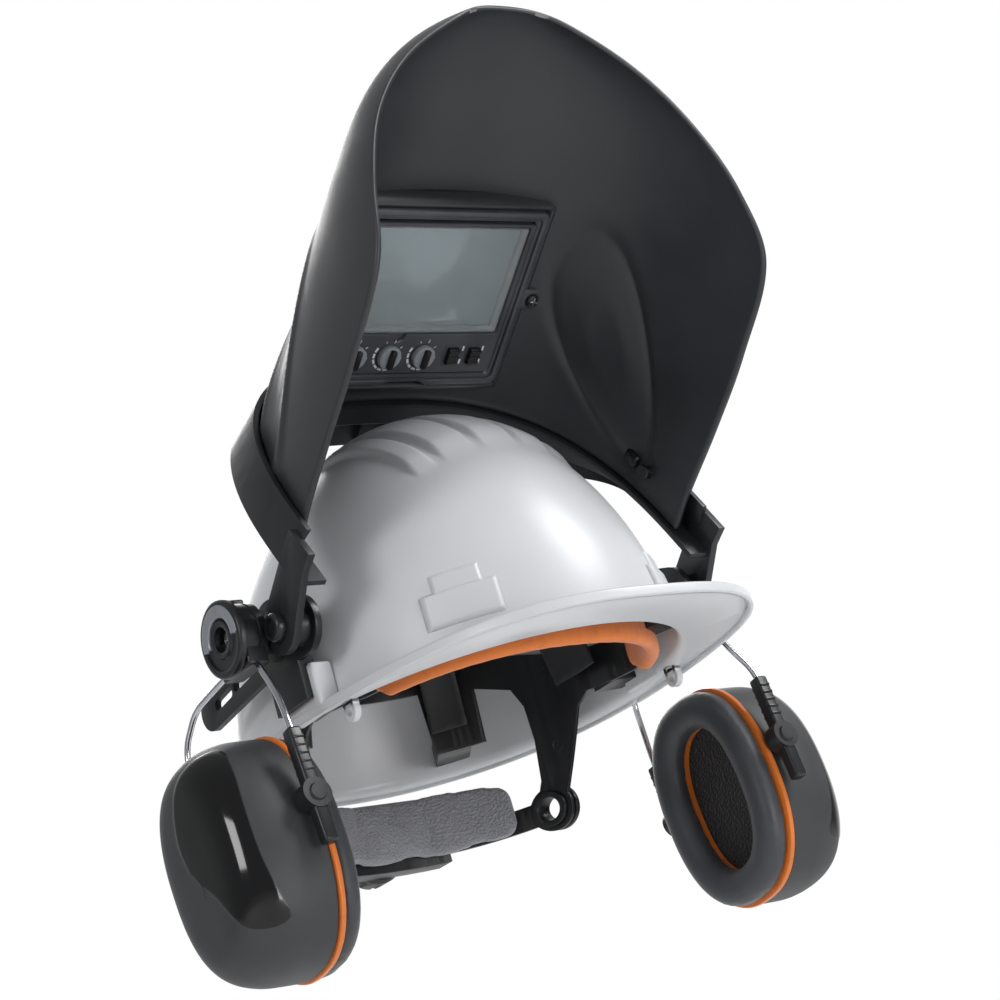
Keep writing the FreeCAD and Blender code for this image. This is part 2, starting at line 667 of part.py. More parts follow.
def keep_profile():
    points = [V(-150.0, y, z) for y, z in SHIELD_EDGE]
    curve = curve_through(points)
    corners = [points[-1], V(-150.0, -300.0, -208.0), V(-150.0, -300.0, 8.2), points[0]]
    wire = Part.Wire([curve] + Part.makePolygon(corners).Edges)
    return Part.Face(wire).extrude(V(300.0, 0, 0))


def bay_box(inset, y0, y1):
    return box(-BAY_X + inset, BAY_X - inset, y0 - FACE_Y, y1 - FACE_Y,
               -BAY_Z + inset, BAY_Z - inset)


def shield_shell():
    skin = shield_loft(0.0, 0.0).cut(shield_loft(SHIELD_WALL, 2.0)).common(keep_profile())
    skin = skin.cut(tilted(bay_box(0.5, BAY_FRONT_Y - 20.0, FACE_Y + 30.0)))
    bay = bay_box(0.0, BAY_FRONT_Y, FACE_Y - 2.0).cut(
        bay_box(BAY_WALL, BAY_FRONT_Y + BAY_WALL, FACE_Y + 10.0))
    opening = box(-WINDOW_X - 5.0, WINDOW_X + 5.0, -40.0, 0.0, -42.0, 42.0)
    bay = bay.cut(opening)
    for side in (-1.0, 1.0):
        boss = rod(V(side * EAR_X, -9.0, 0.0), Y_AXIS, 4.6, 4.8)
        bay = bay.fuse(boss)
    body = skin.fuse(tilted(bay))
    for side in (-1.0, 1.0):
        hole = rod(V(side * EAR_X, -8.0, 0.0), Y_AXIS, 1.7, 12.0)
        body = body.cut(tilted(hole))
    return raised(body.removeSplitter())


def yoke_loft(x_low, y_low, x_high, y_high, z_low, z_high):
    wires = [half_oval(x_low, y_low, z_low), half_oval(x_high, y_high, z_high)]
    return Part.makeLoft(wires, True, True)


def carrier_yoke():
    outer = yoke_loft(YOKE_LOW_X, YOKE_LOW_Y, YOKE_TOP_X, YOKE_TOP_Y, YOKE_LOW_Z, YOKE_TOP_Z)
    inner = yoke_loft(YOKE_LOW_X - YOKE_WALL, YOKE_LOW_Y + YOKE_WALL,
                      YOKE_TOP_X - YOKE_WALL, YOKE_TOP_Y + YOKE_WALL,
                      YOKE_LOW_Z - 0.01, YOKE_TOP_Z - YOKE_WEB)
    throat = yoke_loft(YOKE_INNER_X, YOKE_INNER_Y, YOKE_INNER_X, YOKE_INNER_Y,
                       YOKE_LOW_Z - 1.0, YOKE_TOP_Z + 1.0)
    ledge = outer.cut(inner).cut(throat)
    tail = yoke_tail()
    arm = stadium(PIVOT_Y, PIVOT_Z, ARM_RADIUS, -57.0, 2.0, 9.0, *ARM_X)
    body = ledge.fuse([tail, mirrored(tail), arm, mirrored(arm)])
    hole = rod(V(-BIG / 2, PIVOT_Y, PIVOT_Z), X_AXIS, PIN_RADIUS + RUNNING_GAP, BIG)
    room = tilted(bay_box(-0.2, BAY_FRONT_Y - 0.2, FACE_Y + 2.0))
    return raised(body.cut(hole).cut(room).removeSplitter())


def yoke_tail():
    # Flat cheek at the rear end of the yoke, where the arm joins it.
    web = box(YOKE_INNER_X, ARM_X[1], -62.0, YOKE_REAR_Y, YOKE_TOP_Z - YOKE_WEB, YOKE_TOP_Z)
    cheek = box(ARM_X[0], ARM_X[1], -66.0, YOKE_REAR_Y, -7.0, YOKE_TOP_Z)
    return web.fuse(cheek)


def hinge_cap():
    cap = rod(V(ARM_X[1] + 0.1, PIVOT_Y, PIVOT_Z), X_AXIS, 6.6, 4.6)
    bore = rod(V(ARM_X[1] - 1.0, PIVOT_Y, PIVOT_Z), X_AXIS, PIN_RADIUS + RUNNING_GAP,
               PIN_END_X - ARM_X[1] + 1.1)
    return cap.cut(bore)


def cartridge_frame():
    plate = box(-FRAME_X, FRAME_X, -4.0, 0.0, -FRAME_Z, FRAME_Z)
    ears = box(-EAR_X - 5.0, EAR_X + 5.0, -4.0, 0.0, -5.5, 5.5)
    hole = box(-FRAME_HOLE_X, FRAME_HOLE_X, -10.0, 5.0, -FRAME_HOLE_Z, FRAME_HOLE_Z)
    notch = box(-14.0, 14.0, -10.0, 5.0, FRAME_Z - 2.5, FRAME_Z + 5.0)
    body = plate.fuse(ears).cut(hole).cut(notch)
    for side in (-1.0, 1.0):
        bore = rod(V(side * EAR_X, -6.0, 0.0), Y_AXIS, 1.9, 12.0)
        body = body.cut(bore)
    return raised(tilted(body))


def frame_screws():
    screws = []
    for side in (-1.0, 1.0):
        head = rod(V(side * EAR_X, 0.1, 0.0), Y_AXIS, 3.6, 2.2)
        recess = rod(V(side * EAR_X, 1.2, 0.0), Y_AXIS, 1.7, 3.0)
        shank = rod(V(side * EAR_X, -7.5, 0.0), Y_AXIS, 1.6, 7.7)
        screws.append(head.fuse(shank).cut(recess))
    return raised(tilted(Part.makeCompound(screws)))


def cartridge_body():
    body = box(-BODY_X, BODY_X, -12.0, -0.8, -BODY_Z, BODY_Z)
    window = box(-WINDOW_X, WINDOW_X, -20.0, 5.0, *WINDOW_Z)
    inner_seat = box(-WINDOW_X - 2.0, WINDOW_X + 2.0, -2.6, 5.0, WINDOW_Z[0] - 2.0, WINDOW_Z[1] + 2.0)
    glass_seat = box(-WINDOW_X - 3.0, WINDOW_X + 3.0, -20.0, -5.0, WINDOW_Z[0] - 3.0,
                     WINDOW_Z[1] + 3.0)
    bay = box(-47.0, 47.0, -20.0, -4.0, 22.0, 40.5)
    body = body.cut(window).cut(inner_seat).cut(glass_seat).cut(bay)
    for x in KNOB_X:
        body = body.cut(rod(V(x, -6.0, KNOB_FACE_Z), Y_AXIS, CONTROL_SHAFT + 0.05, 10.0))
    for x in SWITCH_X:
        body = body.cut(box(x - 2.0, x + 2.0, -6.0, 5.0, KNOB_FACE_Z - 5.0, KNOB_FACE_Z + 5.0))
    return raised(tilted(body))


def filter_plate(margin, y0, y1):
    return raised(tilted(box(-WINDOW_X - margin, WINDOW_X + margin, y0, y1,
                             WINDOW_Z[0] - margin, WINDOW_Z[1] + margin)))


def outer_lens():
    return raised(tilted(box(-55.0, 55.0, -14.2, -12.4, -47.0, 47.0)))


def circuit_board():
    return raised(tilted(box(-46.0, 46.0, -8.2, -6.8, 22.8, 39.8)))


def batteries():
    cells = [rod(V(x, -11.2, 31.0), Y_AXIS, 8.0, 2.8) for x in (-30.0, 30.0)]
    return raised(tilted(Part.makeCompound(cells)))


def solar_cell():
    return raised(tilted(box(-20.0, 20.0, -11.8, -10.6, 24.0, 38.0)))


def arc_sensors():
    sensors = [rod(V(x, -11.8, 31.0), Y_AXIS, 2.6, 3.4) for x in (-43.0, 43.0)]
    return raised(tilted(Part.makeCompound(sensors)))


def control_knob(x):
    base = rod(V(x, -0.5, KNOB_FACE_Z), Y_AXIS, CONTROL_RADIUS, 2.2)
    grip = rod(V(x, 1.5, KNOB_FACE_Z), Y_AXIS, CONTROL_RADIUS - 0.8, 3.4)
    blade = box(x - 1.6, x + 1.6, 2.6, 6.0, KNOB_FACE_Z - CONTROL_RADIUS, KNOB_FACE_Z + CONTROL_RADIUS)
    grip = grip.common(box(x - 3.4, x + 3.4, -9.0, 9.0, -BIG, BIG)).fuse(
        blade.common(rod(V(x, 0, KNOB_FACE_Z), Y_AXIS, CONTROL_RADIUS - 0.8, 9.0)))
    shaft = rod(V(x, -5.6, KNOB_FACE_Z), Y_AXIS, CONTROL_SHAFT, 5.5)
    return raised(tilted(base.fuse([grip, shaft]).removeSplitter()))


def control_switch(x):
    pad = box(x - 3.2, x + 3.2, -0.5, 1.8, KNOB_FACE_Z - 4.5, KNOB_FACE_Z + 4.5)
    stem = box(x - 1.9, x + 1.9, -5.6, -0.4, KNOB_FACE_Z - 2.5, KNOB_FACE_Z + 2.5)
    ridges = [box(x - 3.2, x + 3.2, 1.8, 2.6, KNOB_FACE_Z + z - 0.5, KNOB_FACE_Z + z + 0.5)
              for z in (-3.0, 0.0, 3.0)]
    return raised(tilted(pad.fuse([stem] + ridges).removeSplitter()))


def main():
    os.makedirs("parts", exist_ok=True)
    save("shell", shell())
    save("crown_cradle", crown_cradle())
    save("headband", headband())
    save("sweatband", sweatband())
    for place, azimuth in CLIP_AZIMUTHS.items():
        save_pair("cradle_clip_" + place, cradle_clip(azimuth))
    save_pair("nape_strap", nape_strap())
    save("nape_pad", nape_pad())
    save("ratchet_housing", ratchet_housing())
    save("ratchet_knob", ratchet_knob())
    save_pair("muff_mount", muff_mount())
    save_pair("hub_screw", hub_screw())
    save_pair("hub_housing", hub_housing())
    save_pair("hub_cap", hub_cap())
    save_pair("bow_wire", bow_wire())
    save_pair("slider_front", slider(-1.0))
    save_pair("slider_rear", slider(1.0))
    save_pair("cup_shell", cup_shell())
    save_pair("cup_panel", cup_panel())
    save_pair("cup_ring", cup_ring())
    save_pair("ear_cushion", ear_cushion())
    save_pair("ear_foam", ear_foam())
    save("shield_shell", shield_shell())
    save("carrier_yoke", carrier_yoke())
    save("hinge_cap_l", raised(hinge_cap()))
    save("hinge_cap_r", raised(mirrored(hinge_cap())))
    save("cartridge_frame", cartridge_frame())
    save("frame_screws", frame_screws())
    save("cartridge_body", cartridge_body())
    save("filter_glass", filter_plate(2.7, -10.0, -5.1))
    save("inner_lens", filter_plate(1.7, -2.5, -1.0))
    save("outer_lens", outer_lens())
    save("circuit_board", circuit_board())
    save("batteries", batteries())
    save("solar_cell", solar_cell())
    save("arc_sensors", arc_sensors())
    for name, x in zip(("knob_shade", "knob_sensitivity", "knob_delay"), KNOB_X):
        save(name, control_knob(x))
    for name, x in zip(("switch_mode", "switch_range"), SWITCH_X):
        save(name, control_switch(x))


main()
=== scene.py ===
import bpy
import bmesh
import json
import math
from mathutils import Matrix, Vector


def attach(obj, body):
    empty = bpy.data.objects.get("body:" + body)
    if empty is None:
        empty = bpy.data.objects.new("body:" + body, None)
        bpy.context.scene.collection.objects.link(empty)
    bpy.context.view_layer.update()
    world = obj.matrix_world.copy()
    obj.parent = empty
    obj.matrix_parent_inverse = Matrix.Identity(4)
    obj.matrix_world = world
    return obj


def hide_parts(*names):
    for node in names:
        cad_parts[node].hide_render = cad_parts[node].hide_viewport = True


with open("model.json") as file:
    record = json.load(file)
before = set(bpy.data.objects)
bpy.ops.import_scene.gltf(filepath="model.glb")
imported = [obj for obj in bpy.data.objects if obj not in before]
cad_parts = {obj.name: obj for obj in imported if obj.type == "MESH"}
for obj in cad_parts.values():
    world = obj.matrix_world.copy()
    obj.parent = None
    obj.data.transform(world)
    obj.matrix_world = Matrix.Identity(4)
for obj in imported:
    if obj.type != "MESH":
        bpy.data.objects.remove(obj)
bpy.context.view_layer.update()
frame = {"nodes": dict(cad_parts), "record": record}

bl_info = {
    "name": "Welding helmet maker",
    "version": (1, 0, 0),
    "blender": (4, 5, 0),
    "location": "View3D > Sidebar > Helmet",
    "description": "Builds a hard hat with ear muffs and a flip-up welding shield",
    "category": "Object",
}

# Shapes are worked out in millimetres and scaled when a piece is finished.
MM = 0.001
SIDES = (("l", False), ("r", True))
RAISED = 120.0
PIVOT = Vector((0.0, -49.0, 36.0))
HUB = Vector((0.0, -26.0, 40.0))
CUP_CENTRE = Vector((148.0, -18.0, -64.0))
CUP_LEAN = 8.0
FACE_CENTRE = Vector((0.0, -176.0, -58.0))
FACE_TILT = 3.2
BAND_CENTRE_Y = -6.0
BAND_POWER = 2.3


def turned_x(degrees, centre):
    spin = Matrix.Rotation(math.radians(degrees), 4, "X")
    return Matrix.Translation(centre) @ spin @ Matrix.Translation(-centre)


SHIELD_PLACE = turned_x(-RAISED, PIVOT)
FACE_PLACE = (SHIELD_PLACE @ Matrix.Translation(FACE_CENTRE)
              @ Matrix.Rotation(math.radians(-FACE_TILT), 4, "X"))
CUP_PLACE = Matrix.Translation(CUP_CENTRE) @ Matrix.Rotation(math.radians(-CUP_LEAN), 4, "X")


def smooth(value, low, high):
    t = min(max((value - low) / (high - low), 0.0), 1.0)
    return t * t * (3.0 - 2.0 * t)


def along(table, value):
    # Reads a smooth curve through the rows of a table whose first column is the key.
    rows = sorted(table)
    last = len(rows) - 1
    value = min(max(value, rows[0][0]), rows[last][0])
    index = max(i for i in range(last) if rows[i][0] <= value)
    before = rows[max(index - 1, 0)]
    here = rows[index]
    there = rows[index + 1]
    after = rows[min(index + 2, last)]
    span = there[0] - here[0]
    t = (value - here[0]) / span
    result = []
    for column in range(1, len(here)):
        in_slope = (there[column] - before[column]) / (there[0] - before[0]) * span
        out_slope = (after[column] - here[column]) / (after[0] - here[0]) * span
        result.append((2 * t**3 - 3 * t**2 + 1) * here[column] + (t**3 - 2 * t**2 + t) * in_slope
                      + (3 * t**2 - 2 * t**3) * there[column] + (t**3 - t**2) * out_slope)
    return result


# ------------------------------------------------------------ mesh helpers

def new_object(name, bm, sharp_angle):
    mesh = bpy.data.meshes.new(name)
    bm.to_mesh(mesh)
    bm.free()
    mesh.shade_smooth()
    mesh.set_sharp_from_angle(angle=math.radians(sharp_angle))
    piece = bpy.data.objects.new(name, mesh)
    bpy.context.scene.collection.objects.link(piece)
    return piece


def finish_piece(name, bm, body, slot, replaced=(), place=None, mirrored=False, finish=None,
                 sharp_angle=38.0, merge=0.01):
    # Scales a shape to metres, gives it the slot's finish and hangs it on its body.
    if merge:
        bmesh.ops.remove_doubles(bm, verts=bm.verts, dist=merge)
    if place is not None:
        bmesh.ops.transform(bm, matrix=place, verts=bm.verts)
    flip = -MM if mirrored else MM
    bmesh.ops.scale(bm, vec=(flip, MM, MM), verts=bm.verts)
    bmesh.ops.recalc_face_normals(bm, faces=bm.faces)
    piece = new_object(name, bm, sharp_angle)
    piece.data.materials.append(FINISHES[finish or slot])
    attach(piece, body)
    if replaced:
        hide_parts(*replaced)
    return piece


def loop_edges(verts):
    ring = set(verts)
    return list({e for v in verts for e in v.link_edges if all(o in ring for o in e.verts)})


def oval_loop(bm, x, half_y, half_z, power, count=96):
    # A rounded oval standing across the X axis.
    verts = bmesh.ops.create_circle(bm, segments=count, radius=1.0)["verts"]
    for vert in verts:
        angle = math.atan2(vert.co.y, vert.co.x)
        y = math.copysign(abs(math.cos(angle)) ** (2.0 / power), math.cos(angle))
        z = math.copysign(abs(math.sin(angle)) ** (2.0 / power), math.sin(angle))
        vert.co = Vector((x, half_y * y, half_z * z))
    return verts


def loft(bm, loops, cap_first=False, cap_last=False):
    for near, far in zip(loops, loops[1:]):
        bmesh.ops.bridge_loops(bm, edges=loop_edges(near) + loop_edges(far))
    for wanted, ring in ((cap_first, loops[0]), (cap_last, loops[-1])):
        if wanted:
            bmesh.ops.contextual_create(bm, geom=ring)


def lathe(bm, profile, centre, steps=72):
    # Spins (x, radius) points round the X axis through a centre.
    verts = [bm.verts.new((x, centre.y + radius, centre.z)) for x, radius in profile]
    edges = [bm.edges.new(pair) for pair in zip(verts, verts[1:])]
    bmesh.ops.spin(bm, geom=verts + edges, cent=centre, axis=(1, 0, 0),
                   angle=math.tau, steps=steps, use_merge=True)


def block(bm, low, high, bevel=0.0, segments=3):
    low = Vector(low)
    high = Vector(high)
    made = bmesh.ops.create_cube(bm, size=1.0)["verts"]
    bmesh.ops.scale(bm, vec=high - low, verts=made)
    bmesh.ops.translate(bm, vec=(high + low) / 2, verts=made)
    if bevel:
        edges = list({e for v in made for e in v.link_edges})
        bmesh.ops.bevel(bm, geom=edges, offset=bevel, offset_type="OFFSET", segments=segments,
                        profile=0.5, affect="EDGES", material=-1, clamp_overlap=True)


def drum(bm, start, end, radius, steps=32, end_radius=None):
    # A round bar between two points.
    axis = Vector(end) - Vector(start)
    turn = axis.to_track_quat("Z", "Y").to_matrix().to_4x4()
    middle = (Vector(start) + Vector(end)) / 2
    tip = radius if end_radius is None else end_radius
    return bmesh.ops.create_cone(bm, cap_ends=True, segments=steps, radius1=radius, radius2=tip,
                                 depth=axis.length, matrix=Matrix.Translation(middle) @ turn)


def rounded_path(points, bend, steps=7):
    path = [Vector(points[0])]
    for before, corner, after in zip(points, points[1:], points[2:]):
        corner = Vector(corner)
        back = (Vector(before) - corner)
        ahead = (Vector(after) - corner)
        reach = min(bend, back.length * 0.45, ahead.length * 0.45)
        start = corner + back.normalized() * reach
        end = corner + ahead.normalized() * reach
        for step in range(steps + 1):
            t = step / steps
            path.append(start * (1 - t) ** 2 + corner * 2 * t * (1 - t) + end * t**2)
    path.append(Vector(points[-1]))
    return path


def tube(bm, points, radius, bend=6.0, count=16):
    path = rounded_path(points, bend)
    loops = []
    turn = None
    for index, point in enumerate(path):
        ahead = path[min(index + 1, len(path) - 1)] - path[max(index - 1, 0)]
        if turn is None:
            turn = ahead.to_track_quat("Z", "Y")
        else:
            turn = (turn @ Vector((0, 0, 1))).rotation_difference(ahead) @ turn
        matrix = Matrix.Translation(point) @ turn.to_matrix().to_4x4()
        verts = bmesh.ops.create_circle(bm, segments=count, radius=radius, matrix=matrix)["verts"]
        loops.append(verts)
    loft(bm, loops, True, True)


def add_modifier(piece, kind, **settings):
    modifier = piece.modifiers.new(kind.title(), kind)
    for key, value in settings.items():
        setattr(modifier, key, value)
    return modifier


# ------------------------------------------------------------ colours and sizes

def paint(red, green, blue):
    # Screen values from 0 to 255, as the linear colour that a shader wants.
    return tuple((v / 255.0) ** 2.2 for v in (red, green, blue))


def colour_prop(name, description, value):
    return bpy.props.FloatVectorProperty(name=name, description=description, default=value,
                                         subtype="COLOR", min=0.0, max=1.0)


def length_prop(name, description, value):
    return bpy.props.FloatProperty(name=name, description=description, default=value * MM,
                                   unit="LENGTH", subtype="DISTANCE", min=0.0)


class HelmetColours(bpy.types.PropertyGroup):
    shell: colour_prop("Shell", "Moulded hard hat shell", paint(212, 214, 217))
    shield: colour_prop("Shield", "Welding shield", paint(52, 53, 56))
    yoke: colour_prop("Carrier", "Carrier that holds the shield", paint(38, 39, 42))
    cup: colour_prop("Cup", "Matt body of the ear cups", paint(58, 59, 61))
    gloss: colour_prop("Cup panel", "Glossy wrap on the ear cups", paint(16, 16, 18))
    ring: colour_prop("Ring", "Ring behind the ear cushion", paint(222, 120, 52))
    cushion: colour_prop("Cushion", "Skin of the ear cushions", paint(62, 64, 68))
    foam: colour_prop("Foam", "Foam inside the ear cups", paint(30, 30, 32))
    harness: colour_prop("Harness", "Head harness plastic", paint(34, 35, 37))
    sweatband: colour_prop("Sweatband", "Forehead sweatband", paint(200, 110, 52))
    nape: colour_prop("Nape pad", "Foam pad at the nape", paint(120, 121, 125))
    cap: colour_prop("Cap", "Light sector of the hub cap", paint(150, 154, 160))
    control: colour_prop("Knobs", "Faces of the control knobs", paint(132, 136, 140))
    glass: colour_prop("Filter", "Darkening filter glass", paint(80, 99, 106))


class HelmetSizes(bpy.types.PropertyGroup):
    shell_wall: length_prop("Shell wall", "Thickness of the hard hat shell", 2.6)
    rib_height: length_prop("Rib height", "How far the crown ribs stand up", 3.2)
    shield_wall: length_prop("Shield wall", "Thickness of the shield", 2.2)
    wire: length_prop("Wire", "Radius of the ear muff wires", 1.5)


# ------------------------------------------------------------ materials

def nodes_of(name):
    material = bpy.data.materials.new(name)
    material.use_nodes = True
    tree = material.node_tree
    shader = tree.nodes["Principled BSDF"]
    return material, tree, shader


def put(tree, kind, **inputs):
    node = tree.nodes.new(kind)
    for key, value in inputs.items():
        node.inputs[key.replace("_", " ")].default_value = value
    return node


def grain_of(tree, size, detail=4.0):
    place = tree.nodes.new("ShaderNodeTexCoord")
    noise = put(tree, "ShaderNodeTexNoise", Scale=1.0 / (size * MM), Detail=detail)
    tree.links.new(place.outputs["Object"], noise.inputs["Vector"])
    return noise


def spread_of(tree, source, low, high):
    ranged = put(tree, "ShaderNodeMapRange", From_Min=0.3, From_Max=0.7)
    ranged.inputs["To Min"].default_value = low
    ranged.inputs["To Max"].default_value = high
    tree.links.new(source, ranged.inputs["Value"])
    return ranged.outputs["Result"]


def tinted(tree, source, colour, low, high):
    # Two near shades of one colour, chosen by a texture.
    ramp = tree.nodes.new("ShaderNodeValToRGB")
    ramp.color_ramp.elements[0].position = 0.3
    ramp.color_ramp.elements[1].position = 0.7
    for element, share in zip(ramp.color_ramp.elements, (low, high)):
        element.color = tuple(min(c * share, 1.0) for c in colour) + (1.0,)
    tree.links.new(source, ramp.inputs["Fac"])
    return ramp.outputs["Color"]


def moulded(name, colour, rough, grain, depth, shades=(0.9, 1.1), mottle=18.0, swing=0.06,
            metal=0.0, coat=0.0, sheen=0.0, specular=0.5):
    # Moulded, cast or drawn stuff: fine grain, slow change of shade and gloss.
    material, tree, shader = nodes_of(name)
    slow = grain_of(tree, mottle, 5.0)
    fine = grain_of(tree, grain, 3.0)
    tree.links.new(tinted(tree, slow.outputs["Fac"], colour, *shades), shader.inputs["Base Color"])
    tree.links.new(spread_of(tree, slow.outputs["Fac"], rough - swing, rough + swing),
                   shader.inputs["Roughness"])
    bump = put(tree, "ShaderNodeBump", Strength=depth, Distance=grain * 0.35 * MM)
    tree.links.new(fine.outputs["Fac"], bump.inputs["Height"])
    tree.links.new(bump.outputs["Normal"], shader.inputs["Normal"])
    shader.inputs["Metallic"].default_value = metal
    shader.inputs["Coat Weight"].default_value = coat
    shader.inputs["Coat Roughness"].default_value = 0.08
    shader.inputs["Sheen Weight"].default_value = sheen
    shader.inputs["Sheen Roughness"].default_value = 0.4
    shader.inputs["Specular IOR Level"].default_value = specular
    return material


def foamy(name, colour, cell, depth, rough=0.8):
    # Open foam or suede: small cells over a soft grain, with painted shade that darkens each cell's
    # pit.
    material, tree, shader = nodes_of(name)
    place = tree.nodes.new("ShaderNodeTexCoord")
    cells = put(tree, "ShaderNodeTexVoronoi", Scale=1.0 / (cell * MM))
    tree.links.new(place.outputs["Object"], cells.inputs["Vector"])
    slow = grain_of(tree, 9.0, 6.0)
    mixed = tree.nodes.new("ShaderNodeMath")
    mixed.operation = "MULTIPLY_ADD"
    mixed.inputs[1].default_value = 0.5
    tree.links.new(cells.outputs["Distance"], mixed.inputs[0])
    tree.links.new(slow.outputs["Fac"], mixed.inputs[2])
    # Painted shade: the colour darkens towards each cell's middle, where the bump sinks a pit, over a
    # slow random change of tone.
    tree.links.new(tinted(tree, mixed.outputs[0], colour, 0.72, 1.2), shader.inputs["Base Color"])
    bump = put(tree, "ShaderNodeBump", Strength=depth, Distance=cell * 0.5 * MM)
    tree.links.new(cells.outputs["Distance"], bump.inputs["Height"])
    tree.links.new(bump.outputs["Normal"], shader.inputs["Normal"])
    shader.inputs["Roughness"].default_value = rough
    shader.inputs["Sheen Weight"].default_value = 0.25
    shader.inputs["Sheen Roughness"].default_value = 0.5
    return material


def clear_plate(name, colour, rough):
    material, tree, shader = nodes_of(name)
    slow = grain_of(tree, 30.0, 3.0)
    tree.links.new(tinted(tree, slow.outputs["Fac"], colour, 0.9, 1.1), shader.inputs["Base Color"])
    tree.links.new(spread_of(tree, slow.outputs["Fac"], rough, rough + 0.04),
                   shader.inputs["Roughness"])
    shader.inputs["Alpha"].default_value = 0.14
    shader.inputs["IOR"].default_value = 1.5
    return material


def filter_stack(name, colour):
    # Dark mirror-like filter: blue and green show where it catches the light.
    material, tree, shader = nodes_of(name)
    slow = grain_of(tree, 45.0, 2.0)
    tree.links.new(tinted(tree, slow.outputs["Fac"], colour, 0.85, 1.15), shader.inputs["Base Color"])
    tree.links.new(spread_of(tree, slow.outputs["Fac"], 0.16, 0.22), shader.inputs["Roughness"])
    shader.inputs["Metallic"].default_value = 0.3
    shader.inputs["Coat Weight"].default_value = 1.0
    shader.inputs["Coat Roughness"].default_value = 0.04
    return material


def two_tone(name, matt, gloss):
    # Matt body and glossy panel, told apart by how deep a point lies inside the panel.
    material, tree, shader = nodes_of(name)
    depth = tree.nodes.new("ShaderNodeAttribute")
    depth.attribute_name = "gloss_depth"
    share = put(tree, "ShaderNodeMapRange", From_Min=0.0, From_Max=0.4)
    tree.links.new(depth.outputs["Fac"], share.inputs["Value"])
    slow = grain_of(tree, 20.0, 5.0)
    fine = grain_of(tree, 0.42, 3.0)
    mixed = tree.nodes.new("ShaderNodeMix")
    mixed.data_type = "RGBA"
    tree.links.new(share.outputs["Result"], mixed.inputs["Factor"])
    tree.links.new(tinted(tree, slow.outputs["Fac"], matt, 0.92, 1.08), mixed.inputs[6])
    tree.links.new(tinted(tree, slow.outputs["Fac"], gloss, 0.8, 1.2), mixed.inputs[7])
    tree.links.new(mixed.outputs[2], shader.inputs["Base Color"])
    rough = put(tree, "ShaderNodeMapRange")
    rough.inputs["To Min"].default_value = 0.5
    rough.inputs["To Max"].default_value = 0.09
    tree.links.new(share.outputs["Result"], rough.inputs["Value"])
    tree.links.new(rough.outputs["Result"], shader.inputs["Roughness"])
    strength = put(tree, "ShaderNodeMapRange")
    strength.inputs["To Min"].default_value = 0.3
    strength.inputs["To Max"].default_value = 0.0
    tree.links.new(share.outputs["Result"], strength.inputs["Value"])
    bump = put(tree, "ShaderNodeBump", Distance=0.15 * MM)
    tree.links.new(strength.outputs["Result"], bump.inputs["Strength"])
    tree.links.new(fine.outputs["Fac"], bump.inputs["Height"])
    tree.links.new(bump.outputs["Normal"], shader.inputs["Normal"])
    return material


def solar_stripes(name):
    material, tree, shader = nodes_of(name)
    place = tree.nodes.new("ShaderNodeTexCoord")
    wave = put(tree, "ShaderNodeTexWave", Scale=40.0)
    tree.links.new(place.outputs["Object"], wave.inputs["Vector"])
    ramp = tree.nodes.new("ShaderNodeValToRGB")
    ramp.color_ramp.elements[0].color = paint(24, 28, 66) + (1.0,)
    ramp.color_ramp.elements[1].position = 0.92
    ramp.color_ramp.elements[1].color = paint(46, 60, 110) + (1.0,)
    tree.links.new(wave.outputs["Fac"], ramp.inputs["Fac"])
    tree.links.new(ramp.outputs["Color"], shader.inputs["Base Color"])
    shader.inputs["Roughness"].default_value = 0.25
    return material


